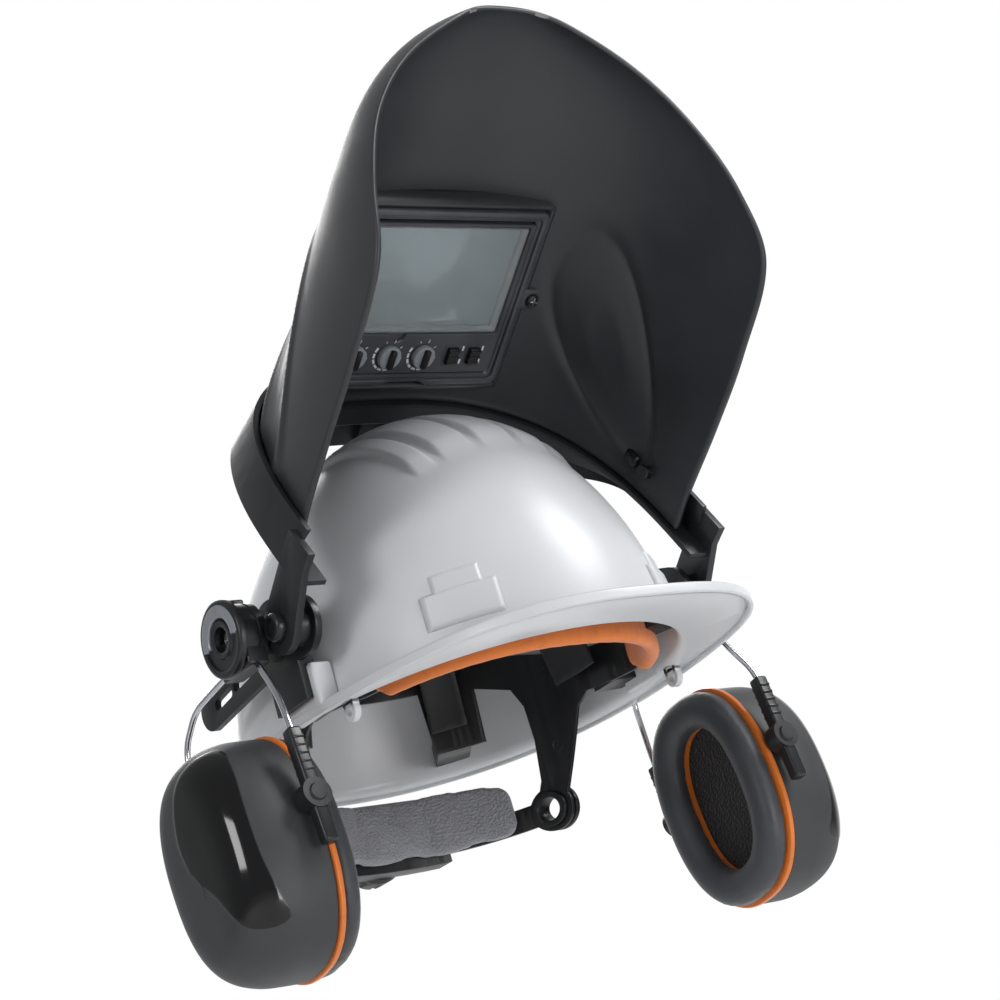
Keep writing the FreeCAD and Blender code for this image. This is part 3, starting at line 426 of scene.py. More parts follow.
def make_finishes(colours):
    return {
        "shell_white": moulded("Hat_white", colours.shell, 0.34, 0.5, 0.06, (0.965, 1.02),
                               60.0, 0.04),
        "shield_black": moulded("Shield_plastic", colours.shield, 0.42, 0.55, 0.22, (0.9, 1.1),
                                34.0),
        "yoke_black": moulded("Carrier_plastic", colours.yoke, 0.38, 0.5, 0.18, (0.88, 1.14), 26.0),
        "cup_matte": moulded("Cup_matte", colours.cup, 0.56, 0.42, 0.35, (0.92, 1.08), 22.0),
        "cup_two_tone": two_tone("Cup_two_tone", colours.cup, colours.gloss),
        "cup_gloss": moulded("Cup_gloss", colours.gloss, 0.14, 2.0, 0.02, (0.85, 1.2), 26.0, 0.03,
                             coat=0.6),
        "ring_orange": moulded("Ring_orange", colours.ring, 0.32, 0.5, 0.1, (0.93, 1.05), 14.0),
        "cushion_skin": moulded("Cushion_skin", colours.cushion, 0.46, 0.9, 0.3, (0.86, 1.12), 16.0,
                                0.07, sheen=0.15),
        "ear_foam": foamy("Ear_foam", colours.foam, 1.5, 0.9, 0.9),
        "harness_black": moulded("Harness_plastic", colours.harness, 0.36, 0.45, 0.15, (0.85, 1.15),
                                 16.0),
        "sweatband_orange": foamy("Sweatband_suede", colours.sweatband, 0.42, 0.4, 0.85),
        "pad_grey": foamy("Nape_foam", colours.nape, 1.3, 1.0, 0.5),
        "mount_black": moulded("Mount_plastic", colours.harness, 0.33, 0.5, 0.16, (0.85, 1.2), 18.0),
        "cap_grey": moulded("Cap_light", colours.cap, 0.32, 0.6, 0.08, (0.9, 1.06), 8.0, metal=0.35),
        "screw_steel": moulded("Screw_steel", paint(196, 198, 202), 0.24, 0.5, 0.08, (0.85, 1.05),
                               3.0, metal=1.0),
        "wire_steel": moulded("Wire_steel", paint(205, 207, 212), 0.16, 0.6, 0.06, (0.85, 1.05),
                              6.0, metal=1.0),
        "frame_black": moulded("Filter_frame", paint(66, 67, 71), 0.38, 0.5, 0.12, (0.85, 1.2), 20.0),
        "filter_dark": filter_stack("Filter_glass", colours.glass),
        "lens_clear": clear_plate("Lens_clear", paint(226, 236, 238), 0.04),
        "board_green": moulded("Board_green", paint(34, 88, 58), 0.4, 0.8, 0.3, (0.7, 1.2), 3.0),
        "battery_steel": moulded("Battery_steel", paint(190, 192, 196), 0.28, 0.4, 0.1,
                                 (0.9, 1.05), 5.0, metal=1.0),
        "solar_blue": solar_stripes("Solar_cell"),
        "control_grey": moulded("Knob_face", colours.control, 0.34, 0.5, 0.1, (0.94, 1.05), 4.0),
        "key_black": moulded("Key_plastic", paint(24, 24, 26), 0.4, 0.4, 0.15, (0.85, 1.2), 4.0),
    }


FINISHES = {}


def dress_cad_nodes():
    # Every CAD node that stays visible gets the finish of its own slot.
    for row in frame["record"]["subparts"]:
        mesh = frame["nodes"][row["node"]].data
        mesh.materials.clear()
        mesh.materials.append(FINISHES[row["material_slot"]])


# ------------------------------------------------------------ stage

FLOOR_SIZE = 3.0
FLOOR_Z = -0.42
CAMERA_PLACE = Vector((-0.78993, -1.07123, -0.31355))
CAMERA_RIGHT = Vector((0.80378, -0.53096, -0.26834))
CAMERA_UP = Vector((0.04301, -0.39801, 0.91637))
CAMERA_AHEAD = Vector((0.59336, 0.74811, 0.29708))


def add_camera():
    scene = bpy.context.scene
    camera = bpy.data.objects.new("camera", bpy.data.cameras.new("camera"))
    camera.data.lens = 100.0
    camera.data.sensor_width = 36.0
    camera.data.clip_end = 20.0
    turn = Matrix((CAMERA_RIGHT, CAMERA_UP, -CAMERA_AHEAD)).transposed().to_4x4()
    camera.matrix_world = Matrix.Translation(CAMERA_PLACE) @ turn
    scene.collection.objects.link(camera)
    scene.camera = camera


def add_world():
    scene = bpy.context.scene
    scene.view_settings.view_transform = "Standard"
    world = bpy.data.worlds.new("studio")
    scene.world = world
    world.use_nodes = True
    tree = world.node_tree
    place = tree.nodes.new("ShaderNodeTexCoord")
    dot = tree.nodes.new("ShaderNodeVectorMath")
    dot.operation = "DOT_PRODUCT"
    dot.inputs[1].default_value = CAMERA_AHEAD
    tree.links.new(place.outputs["Generated"], dot.inputs[0])
    ramp = tree.nodes.new("ShaderNodeValToRGB")
    ramp.color_ramp.elements[0].position = 0.55
    ramp.color_ramp.elements[0].color = (0.30, 0.305, 0.31, 1.0)
    ramp.color_ramp.elements[1].position = 0.9
    ramp.color_ramp.elements[1].color = (1.0, 1.0, 1.0, 1.0)
    tree.links.new(dot.outputs["Value"], ramp.inputs["Fac"])
    background = tree.nodes["Background"]
    tree.links.new(ramp.outputs["Color"], background.inputs["Color"])
    background.inputs["Strength"].default_value = 1.0


def add_lamp(name, place, aim, size, power):
    lamp = bpy.data.lights.new(name, "AREA")
    lamp.shape = "SQUARE"
    lamp.size = size
    lamp.energy = power
    holder = bpy.data.objects.new(name, lamp)
    bpy.context.scene.collection.objects.link(holder)
    turn = (Vector(aim) - Vector(place)).to_track_quat("-Z", "Y").to_matrix().to_4x4()
    holder.matrix_world = Matrix.Translation(place) @ turn


def add_floor():
    bm = bmesh.new()
    bmesh.ops.create_grid(bm, x_segments=8, y_segments=8, size=FLOOR_SIZE)
    bmesh.ops.translate(bm, vec=(0.0, 0.0, FLOOR_Z), verts=bm.verts)
    floor = new_object("studio_floor", bm, 30.0)
    floor.data.materials.append(moulded("Floor_paper", paint(236, 236, 236), 0.7, 1.2, 0.05,
                                        (0.97, 1.0), 200.0))


LAMPS = (("key_lamp", (1.0, -1.1, 1.2), (0, 0, 0.05), 0.8, 22.0),
         ("left_lamp", (-1.6, -0.6, 0.5), (0, 0, 0.05), 0.5, 7.0),
         ("low_lamp", (0.1, -1.5, -0.3), (0, 0, 0.1), 0.5, 7.0),
         ("back_lamp", (0.8, 1.3, 0.9), (0, 0, 0.1), 1.0, 14.0))


class HELMET_OT_stage(bpy.types.Operator):
    """Makes the finishes, floor, lamps and camera"""
    bl_idname = "helmet.stage"
    bl_label = "Stage"

    def execute(self, context):
        FINISHES.update(make_finishes(context.scene.helmet_colours))
        dress_cad_nodes()
        add_camera()
        add_world()
        add_floor()
        for lamp in LAMPS:
            add_lamp(*lamp)
        return {"FINISHED"}


# ------------------------------------------------------------ CAD copies with softened edges

WELD = 0.02


def softened(node, width, slot, body, segments=2, angle=32.0, finish=None):
    # A merged copy of a CAD node whose corners are rounded as a moulding's are.
    bm = bmesh.new()
    bm.from_mesh(frame["nodes"][node].data)
    bmesh.ops.scale(bm, vec=(1 / MM, 1 / MM, 1 / MM), verts=bm.verts)
    bmesh.ops.remove_doubles(bm, verts=bm.verts, dist=WELD)
    bmesh.ops.dissolve_limit(bm, angle_limit=math.radians(0.7), verts=bm.verts, edges=bm.edges,
                             delimit={"NORMAL"})
    limit = math.radians(angle)
    edges = [e for e in bm.edges if len(e.link_faces) == 2 and e.calc_face_angle(0.0) > limit]
    bmesh.ops.bevel(bm, geom=edges, offset=width, offset_type="OFFSET", segments=segments,
                    profile=0.5, affect="EDGES", material=-1, clamp_overlap=True)
    finish_piece(node + "_moulded", bm, body, slot, (node,), finish=finish)


# ------------------------------------------------------------ hard hat

DOME = Vector((103.4, 129.1, 152.4))
DOME_PLACE = Matrix.Translation((0.0, 1.3, -5.7)) @ Matrix.Rotation(math.radians(3.8), 4, "X")
RIM = (108.7, 133.4, 2.12)
PEAK = (105.0, 169.0, 2.8)
BRIM_DROP = 4.2
RIBS = ((-11.0, 11.0), (14.0, 33.0), (-33.0, -14.0), (36.0, 47.0), (-47.0, -36.0))
FINE_HALF = 50.0
FINE_LINES = 64
SIDE_LINES = 24
CROWN_ROWS = 150
CROWN_START = -9.0
CROWN_SWEEP = 198.0
FOOT_Z = 2.2
BLOCK_AZIMUTH = 30.0


def oval_reach(angle, half_x, half_y, power):
    total = abs(math.cos(angle) / half_x) ** power + abs(math.sin(angle) / half_y) ** power
    return total ** (-1.0 / power)


def brim_reach(angle):
    reach = oval_reach(angle, *RIM)
    if math.sin(angle) < 0.0:
        ahead = oval_reach(angle, *PEAK)
        return (reach**24 + ahead**24) ** (1.0 / 24.0)
    return reach


def rib_rise(x, along_deg):
    # Height of the crown ribs: soft shoulders, a ramp in front, a fade behind.
    front = smooth(along_deg, 49.0, 57.0)
    rear = 1.0 - smooth(along_deg, 128.0, 142.0)
    rise = 0.0
    for low, high in RIBS:
        rise = max(rise, smooth(x, low - 0.4, low + 2.2) * (1.0 - smooth(x, high - 2.2, high + 0.4)))
    return rise * front * rear


def dome_point(x, along_deg, out=0.0):
    # A point over the crown, from the front rim at 0 to the rear rim at 180 degrees.
    span = math.sqrt(max(1.0 - (x / DOME.x) ** 2, 0.0))
    angle = math.radians(along_deg)
    return DOME_PLACE @ Vector((x * (1 + out / DOME.x),
                                -(DOME.y + out) * span * math.cos(angle),
                                (DOME.z + out) * span * math.sin(angle)))


def across_dome(t):
    # Lines lie close together over the ribs and spread out at the sides.
    share = abs(t) * (FINE_LINES + SIDE_LINES)
    if share <= FINE_LINES:
        x = FINE_HALF * share / FINE_LINES
    else:
        start = math.asin(FINE_HALF / DOME.x)
        turn = start + (math.pi / 2 - start) * (share - FINE_LINES) / SIDE_LINES
        x = DOME.x * math.sin(turn)
    return math.copysign(x, t)


def spread_ring(bm, ring, step):
    # Grows a rim outwards: step gives a new place from each point's own place.
    edges = loop_edges(ring)
    grown = bmesh.ops.extrude_edge_only(bm, edges=edges)["geom"]
    fresh = [g for g in grown if isinstance(g, bmesh.types.BMVert)]
    for vert in fresh:
        vert.co = step(vert.co)
    return fresh


def brim_step(inward, height):
    def step(place):
        angle = math.atan2(place.y, place.x)
        reach = brim_reach(angle) - inward
        reach = max(reach, math.hypot(place.x, place.y) + 0.05)
        return Vector((reach * math.cos(angle), reach * math.sin(angle), height))
    return step


def foot_step(out, height):
    def step(place):
        length = math.hypot(place.x, place.y)
        return Vector((place.x * (1 + out / length), place.y * (1 + out / length), height))
    return step


def build_shell(sizes):
    bm = bmesh.new()
    lines = FINE_LINES + SIDE_LINES
    bmesh.ops.create_grid(bm, x_segments=2 * lines, y_segments=CROWN_ROWS, size=1.0)
    for vert in bm.verts:
        x = across_dome(vert.co.x)
        along_deg = CROWN_START + (vert.co.y + 1.0) / 2.0 * CROWN_SWEEP
        rise = rib_rise(x, along_deg) * sizes.rib_height / MM
        vert.co = dome_point(x, along_deg, rise)
    bmesh.ops.remove_doubles(bm, verts=bm.verts, dist=0.02)
    bmesh.ops.bisect_plane(bm, geom=list(bm.verts) + list(bm.edges) + list(bm.faces),
                           plane_co=(0, 0, FOOT_Z), plane_no=(0, 0, 1), clear_inner=True)
    ring = [v for v in bm.verts if abs(v.co.z - FOOT_Z) < 0.01]
    for out, height in ((0.45, 1.1), (0.75, 0.35), (0.9, 0.0)):
        ring = spread_ring(bm, ring, foot_step(out, height))
    for inward, height in ((2.6, 0.1), (2.0, 0.75), (1.3, 0.95), (0.7, 0.85), (0.2, 0.4),
                           (0.0, -0.2), (0.0, -BRIM_DROP + 0.9), (0.3, -BRIM_DROP + 0.2)):
        ring = spread_ring(bm, ring, brim_step(inward, height))
    bmesh.ops.recalc_face_normals(bm, faces=bm.faces)
    shell = finish_piece("shell_moulding", bm, "helmet", "shell_white", ("shell",), sharp_angle=50.0)
    add_modifier(shell, "SOLIDIFY", thickness=sizes.shell_wall, offset=-1.0)


def draped_block(name, azimuth, half_width, low, high, out):
    # A raised block that follows the dome, with rounded shoulders.
    bm = bmesh.new()
    bmesh.ops.create_grid(bm, x_segments=36, y_segments=26, size=1.0)
    for vert in bm.verts:
        side = vert.co.x * half_width
        height = low + (vert.co.y + 1.0) / 2.0 * (high - low)
        edge = min((1.0 - abs(vert.co.x)) * half_width, (1.0 - abs(vert.co.y)) * (high - low) / 2)
        rise = out * smooth(edge, -0.2, 1.9) - 0.25
        turn = Matrix.Rotation(math.radians(azimuth), 3, "Z")
        ray = turn @ Vector((0.0, -1.0, 0.0))
        start = turn @ Vector((side, 0.0, 0.0)) + Vector((0.0, 0.0, height))
        inside = DOME_PLACE.inverted()
        local = inside @ start
        way = inside.to_3x3() @ ray
        size = Vector((DOME.x + rise, DOME.y + rise, DOME.z + rise))
        p = Vector((local[i] / size[i] for i in range(3)))
        d = Vector((way[i] / size[i] for i in range(3)))
        a, b, c = d.dot(d), 2 * p.dot(d), p.dot(p) - 1.0
        vert.co = start + ray * ((-b + math.sqrt(b * b - 4 * a * c)) / (2 * a))
    piece = finish_piece(name, bm, "helmet", "shell_white", sharp_angle=60.0)
    add_modifier(piece, "SOLIDIFY", thickness=1.2 * MM, offset=-1.0)


def build_side_pocket(name, mirrored):
    bm = bmesh.new()
    block(bm, (97.0, -44.0, -1.2), (108.2, -8.0, 20.0), 1.6, 3)
    block(bm, (101.2, -41.0, 19.0), (107.4, -11.0, 20.3), 0.6, 2)
    finish_piece(name, bm, "helmet", "shell_white", mirrored=mirrored, merge=0.0)


def build_chin_lug(name, mirrored):
    bm = bmesh.new()
    lathe(bm, ((94.0, 2.5), (97.5, 2.5), (97.5, 4.6), (97.1, 5.0), (94.4, 5.0), (94.0, 4.6),
               (94.0, 2.5)), Vector((0.0, -48.6, -7.0)), 40)
    block(bm, (94.0, -53.2, -5.4), (97.5, -50.9, -1.0), 0.3, 2)
    block(bm, (94.0, -46.3, -5.4), (97.5, -44.0, -1.0), 0.3, 2)
    block(bm, (94.0, -53.2, -4.2), (97.5, -44.0, -1.0), 0.3, 2)
    finish_piece(name, bm, "helmet", "shell_white", mirrored=mirrored, merge=0.0)


class HELMET_OT_shell(bpy.types.Operator):
    """Makes the hard hat shell with its ribs, blocks, pockets and lugs"""
    bl_idname = "helmet.shell"
    bl_label = "Hard hat shell"

    def execute(self, context):
        build_shell(context.scene.helmet_sizes)
        for side, mirrored in SIDES:
            azimuth = -BLOCK_AZIMUTH if mirrored else BLOCK_AZIMUTH
            draped_block("shell_block_low_" + side, azimuth, 18.5, 13.0, 31.0, 2.8)
            draped_block("shell_block_high_" + side, azimuth, 12.0, 29.0, 40.0, 1.7)
            build_side_pocket("shell_pocket_" + side, mirrored)
            build_chin_lug("shell_lug_" + side, mirrored)
        return {"FINISHED"}


# ------------------------------------------------------------ head harness

BAND_HALF = (84.0, 99.0)


def band_point(degrees, outset, z):
    # Straight ahead is 0, and the wearer's left is positive.
    angle = math.radians(degrees - 90.0)
    reach = oval_reach(angle, BAND_HALF[0] + outset, BAND_HALF[1] + outset, BAND_POWER)
    return Vector((reach * math.cos(angle), BAND_CENTRE_Y + reach * math.sin(angle), z))


def on_band(y, z, outset):
    share = min(abs((y - BAND_CENTRE_Y) / (BAND_HALF[1] + outset)), 1.0)
    x = (BAND_HALF[0] + outset) * (1.0 - share**BAND_POWER) ** (1.0 / BAND_POWER)
    return Vector((x, y, z))


def build_moulding_marks():
    # Round ejector marks on the inside of the temple pieces.
    for side, mirrored in SIDES:
        for index, (y, z) in enumerate(((30.0, 26.0), (34.0, -12.0))):
            bm = bmesh.new()
            inner = on_band(y, z, -1.6)
            slope = (on_band(y + 1.0, z, -1.6) - on_band(y - 1.0, z, -1.6)).normalized()
            way = Vector((-slope.y, slope.x, 0.0))
            way = -way if way.x > 0 else way
            lathe(bm, ((-0.3, 3.6), (0.35, 3.4), (0.35, 2.8), (0.0, 2.6), (0.0, 0.0)),
                  Vector((0, 0, 0)), 32)
            turn = Vector((1, 0, 0)).rotation_difference(way).to_matrix().to_4x4()
            bmesh.ops.transform(bm, matrix=Matrix.Translation(inner) @ turn, verts=bm.verts)
            finish_piece("band_mark_%d_%s" % (index, side), bm, "helmet", "harness_black",
                         mirrored=mirrored)


SWEAT_SECTION = ((-1.78, 22.4), (-3.2, 24.0), (-4.6, 22.6), (-5.2, 16.0), (-5.3, 9.0), (-5.1, 2.0),
                 (-4.2, -1.6), (-2.4, -3.0), (0.4, -3.3), (2.0, -2.4), (2.7, -0.2), (2.6, 6.0),
                 (2.4, 12.0), (1.7, 16.2), (0.6, 16.2), (0.3, 12.0), (0.3, 0.8), (-0.5, -0.7),
                 (-1.2, -0.7), (-1.75, 0.8))
SWEAT_REACH = 62.0
SWEAT_STEPS = 128
SWEAT_MIDDLE_Z = 8.0


def build_sweatband():
    # A suede strip inside the headband, turned under its edge and up its outside.
    bm = bmesh.new()
    loops = []
    for step in range(SWEAT_STEPS + 1):
        degrees = SWEAT_REACH * (2.0 * step / SWEAT_STEPS - 1.0)
        fade = 0.6 + 0.4 * smooth(SWEAT_REACH - abs(degrees), 0.0, 4.0)
        wave = 0.16 * math.sin(degrees * 1.1) + 0.1 * math.sin(degrees * 3.1 + 1.0)
        ring = []
        for outset, z in SWEAT_SECTION:
            swell = math.copysign(wave, outset) if abs(outset + 1.0) > 2.5 else 0.0
            height = SWEAT_MIDDLE_Z + (z - SWEAT_MIDDLE_Z) * fade + 0.4 * wave
            ring.append(bm.verts.new(band_point(degrees, outset + swell, height)))
        for near, far in zip(ring, ring[1:] + ring[:1]):
            bm.edges.new((near, far))
        loops.append(ring)
    loft(bm, loops, True, True)
    piece = finish_piece("sweatband_strip", bm, "helmet", "sweatband_orange", ("sweatband",),
                         sharp_angle=80.0)
    add_modifier(piece, "SUBSURF", levels=1, render_levels=1)


NAPE_REACH = 41.5
NAPE_MIDDLE_Z = -32.5
NAPE_HALF_Z = 15.6
NAPE_OUTSET = -3.9
NAPE_HALF_DEPTH = 3.0


def build_nape_pad(fast):
    # A crowned foam pad with blunt ends, a wavy lower edge and two grooves.
    bm = bmesh.new()
    bmesh.ops.create_cube(bm, size=2.0)
    bmesh.ops.subdivide_edges(bm, edges=bm.edges, cuts=19, use_grid_fill=True)
    for vert in bm.verts:
        across, deep, up = vert.co
        corner = math.sqrt(max(1.0 - 0.12 * abs(up) ** 6, 0.0))
        height = NAPE_MIDDLE_Z - 2.0 * abs(across) ** 3 + up * (NAPE_HALF_Z - 3.4 * across**6)
        height += 1.1 * math.sin(across * 11.0) * max(-up, 0.0)
        groove = 1.6 * math.exp(-((abs(across) - 0.3) / 0.05) ** 2)
        depth = NAPE_OUTSET + deep * (NAPE_HALF_DEPTH - (groove if deep < -0.9 else 0.0))
        if deep < -0.9:
            depth -= 0.8 * (1 - across**2) * (1 - up**2)
        vert.co = band_point(180.0 - across * NAPE_REACH * corner, depth, height)
    piece = finish_piece("nape_cushion", bm, "nape", "pad_grey", ("nape_pad",), sharp_angle=70.0)
    if not fast:
        puff_up(piece, 2.5, 1.6, 2.0)
    add_modifier(piece, "SUBSURF", levels=1, render_levels=1)


PUFF_FRAMES = 15
FABRIC_STIFFNESS = 25.0


def puff_up(piece, voxel, pressure, cap):
    # Blows a pad up from inside, keeps every point within the cap, and fixes the result.
    finish = piece.data.materials[0]
    remesh = add_modifier(piece, "REMESH", mode="VOXEL", voxel_size=voxel * MM)
    graph = bpy.context.evaluated_depsgraph_get()
    dense = bpy.data.meshes.new_from_object(piece.evaluated_get(graph))
    piece.modifiers.remove(remesh)
    dense.materials.clear()
    dense.materials.append(finish)
    piece.data = dense
    rest = [v.co.copy() for v in dense.vertices]
    cloth = piece.modifiers.new("Cloth", "CLOTH")
    cloth.settings.use_pressure = True
    cloth.settings.uniform_pressure_force = pressure
    cloth.settings.effector_weights.gravity = 0.0
    cloth.settings.quality = 5
    cloth.settings.tension_stiffness = FABRIC_STIFFNESS
    cloth.settings.compression_stiffness = FABRIC_STIFFNESS
    scene = bpy.context.scene
    for step in range(1, PUFF_FRAMES + 1):
        scene.frame_set(step)
    graph = bpy.context.evaluated_depsgraph_get()
    swollen = piece.evaluated_get(graph).to_mesh()
    moved = [v.co.copy() for v in swollen.vertices]
    piece.evaluated_get(graph).to_mesh_clear()
    piece.modifiers.remove(cloth)
    scene.frame_set(1)
    for vert, start, end in zip(dense.vertices, rest, moved):
        shift = end - start
        if shift.length > cap * MM:
            shift *= cap * MM / shift.length
        vert.co = start + shift
    dense.shade_smooth()


class HELMET_OT_harness(bpy.types.Operator):
    """Makes the headband, sweatband, cradle, clips, nape strap and pad"""
    bl_idname = "helmet.harness"
    bl_label = "Head harness"

    def execute(self, context):
        softened("headband", 0.45, "harness_black", "helmet")
        build_sweatband()
        build_moulding_marks()
        softened("crown_cradle", 0.3, "harness_black", "helmet", angle=50.0)
        for place in ("front", "side", "rear"):
            for side, _ in SIDES:
                softened("cradle_clip_%s_%s" % (place, side), 0.5, "harness_black", "helmet")
        for side, _ in SIDES:
            softened("nape_strap_" + side, 0.45, "harness_black", "nape")
        softened("ratchet_housing", 1.4, "harness_black", "nape", 4)
        softened("ratchet_knob", 0.5, "harness_black", "nape_knob", 3)
        build_nape_pad(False)
        return {"FINISHED"}


# ------------------------------------------------------------ ear muffs

CUP_PROFILE = ((-14.0, 0.9), (-13.4, 0.2), (-12.0, 0.0), (-4.0, 0.0), (4.0, 0.2), (10.0, 1.1),
               (16.0, 2.8), (21.0, 5.4), (25.0, 8.9), (27.8, 13.0), (29.4, 18.0), (30.0, 24.0),
               (30.2, 31.0), (30.3, 38.0))
CUP_HALF = (41.0, 56.0, 2.35)
CUP_POINTS = 176
CUP_ROWS_PER_STEP = 5
SLIDER_X = -10.0
SLIDER_Y = 48.5
CUP_PIN_Z = 9.0
PANEL_OUTLINE = ((-24.6, 47.8), (-33.5, 33.0), (-36.9, 15.8), (-37.2, -8.0), (-36.2, -25.2),
                 (-31.2, -41.7), (-21.3, -39.3), (-16.5, -28.3), (-9.6, -15.5), (2.0, -4.0),
                 (6.2, 6.5), (7.0, 18.4), (1.0, 33.0), (-6.6, 42.0), (-15.0, 47.0))


def panel_depth(y, z, outline):
    # How far inside the glossy panel a point lies, in millimetres; outside is negative.
    inside = False
    nearest = 1e9
    spot = Vector((y, z))
    for here, there in zip(outline, outline[1:] + outline[:1]):
        if (here.y > z) != (there.y > z):
            if y < (there.x - here.x) * (z - here.y) / (there.y - here.y) + here.x:
                inside = not inside
        way = there - here
        share = min(max((spot - here).dot(way) / way.length_squared, 0.0), 1.0)
        nearest = min(nearest, (spot - here - way * share).length)
    return nearest if inside else -nearest


def cut_corners(outline, rounds=2):
    # Rounds an outline off by cutting a quarter from each end of every side.
    for _ in range(rounds):
        sides = list(zip(outline, outline[1:] + outline[:1]))
        outline = [here.lerp(there, share) for here, there in sides for share in (0.25, 0.75)]
    return outline


def cup_loop(bm, x, inset, count):
    # The cup's outline at one depth, drawn in by an inset.
    return oval_loop(bm, x, CUP_HALF[0] - inset, CUP_HALF[1] - inset, CUP_HALF[2], count)


def build_cup(name, side, mirrored):
    bm = bmesh.new()
    rows = [(i, *row) for i, row in enumerate(CUP_PROFILE)]
    loops = [cup_loop(bm, -14.0, 2.4, CUP_POINTS)]
    for step in range((len(rows) - 1) * CUP_ROWS_PER_STEP + 1):
        loops.append(cup_loop(bm, *along(rows, step / CUP_ROWS_PER_STEP), CUP_POINTS))
    loft(bm, loops, False, True)
    outline = cut_corners([Vector(corner) for corner in PANEL_OUTLINE])
    layer = bm.verts.layers.float.new("gloss_depth")
    for vert in bm.verts:
        depth = panel_depth(vert.co.y, vert.co.z, outline) if vert.co.x > 1.0 else -9.0
        vert[layer] = max(depth, -9.0)
        rise = 0.5 * smooth(depth, -1.3, 1.5)
        seam = 0.3 * math.exp(-(vert.co.x / 0.45) ** 2)
        away = Vector((max(vert.co.x, 0.0) * 0.8, vert.co.y / 1.2, vert.co.z / 2.2)).normalized()
        vert.co += away * (rise - seam)
    finish_piece(name, bm, "cup_" + side, "cup_matte", ("cup_shell_" + side, "cup_panel_" + side),
                 CUP_PLACE, mirrored, finish="cup_two_tone", sharp_angle=45.0)


def build_cup_ring(name, side, mirrored):
    bm = bmesh.new()
    loops = [cup_loop(bm, x, inset, 128)
             for x, inset in ((-14.25, 17.0), (-14.25, -0.2), (-14.6, -0.8), (-15.8, -0.95),
                              (-16.9, -0.7), (-17.2, 0.0), (-17.2, 16.4), (-16.8, 17.0))]
    loft(bm, loops + loops[:1])
    finish_piece(name, bm, "cup_" + side, "ring_orange", ("cup_ring_" + side,), CUP_PLACE, mirrored)


def build_cushion(name, side, mirrored, fast):
    # A padded ring: fat all round, drawn in where its skin is welded to the backing.
    bm = bmesh.new()
    loops = [cup_loop(bm, x, inset, 96)
             for x, inset in ((-17.7, 17.6), (-17.7, 1.5), (-18.6, 0.6), (-21.4, 0.5), (-25.0, 1.2),
                              (-27.6, 3.6), (-29.0, 7.0), (-29.2, 11.0), (-27.8, 15.2),
                              (-24.6, 18.0), (-20.6, 18.7), (-18.2, 18.3))]
    loft(bm, loops + loops[:1])
    piece = finish_piece(name, bm, "cup_" + side, "cushion_skin", ("ear_cushion_" + side,),
                         CUP_PLACE, mirrored, sharp_angle=80.0)
    if not fast:
        puff_up(piece, 2.2, 3.0, 1.2)
    add_modifier(piece, "SUBSURF", levels=1, render_levels=1)


def build_ear_foam(name, side, mirrored):
    bm = bmesh.new()
    loops = [cup_loop(bm, x, inset, 64)
             for x, inset in ((-6.0, 6.0), (-6.2, 5.2), (-12.2, 5.2), (-13.0, 6.2), (-13.4, 9.0),
                              (-12.6, 20.0), (-12.2, 30.0))]
    loft(bm, loops, True, True)
    piece = finish_piece(name, bm, "cup_" + side, "ear_foam", ("ear_foam_" + side,), CUP_PLACE,
                         mirrored, sharp_angle=70.0)


def build_slider(name, side, mirrored, end, node):
    # A gripped bar on the wire, with a round boss that carries the cup's pin.
    bm = bmesh.new()
    x = SLIDER_X
    y = end * SLIDER_Y
    block(bm, (x - 3.6, y - 3.4, -14.0), (x + 3.6, y + 3.4, 42.0), 1.5, 4)
    drum(bm, (x, end * 43.4, CUP_PIN_Z), (x, end * 52.3, CUP_PIN_Z), 7.2, 40)
    for step in range(5):
        z = 20.0 + step * 4.0
        block(bm, (x - 3.0, y - 3.9, z), (x + 3.0, y + 3.9, z + 1.6), 0.5, 2)
    drum(bm, (x, end * 52.0, CUP_PIN_Z), (x, end * 53.4, CUP_PIN_Z), 4.4, 32, 3.6)
    drum(bm, (x, end * 36.0, CUP_PIN_Z), (x, end * 44.0, CUP_PIN_Z), 2.5, 24)
    finish_piece(name, bm, "slide_" + side, "mount_black", (node,), CUP_PLACE, mirrored, merge=0.0)


def build_wire(name, side, mirrored, sizes):
    # One bent wire: up from the front slider, over the hub and down to the rear slider.
    front_low = CUP_PLACE @ Vector((SLIDER_X, -SLIDER_Y, -10.0))
    front_high = CUP_PLACE @ Vector((SLIDER_X, -SLIDER_Y, 46.0))
    rear_low = CUP_PLACE @ Vector((SLIDER_X, SLIDER_Y, -10.0))
    rear_high = CUP_PLACE @ Vector((SLIDER_X, SLIDER_Y, 46.0))
    bm = bmesh.new()
    tube(bm, (front_low, front_high, (134.5, -51.0, 4.0), (134.0, -42.0, 20.0), (131.5, -33.0, 27.5),
              (131.5, -6.0, 27.5), (134.0, 22.0, 22.0), (136.0, rear_high.y - 1.0, 8.0), rear_high,
              rear_low), sizes.wire / MM, 7.0)
    finish_piece(name, bm, "bow_" + side, "wire_steel", ("bow_wire_" + side,), None, mirrored,
                 sharp_angle=60.0)


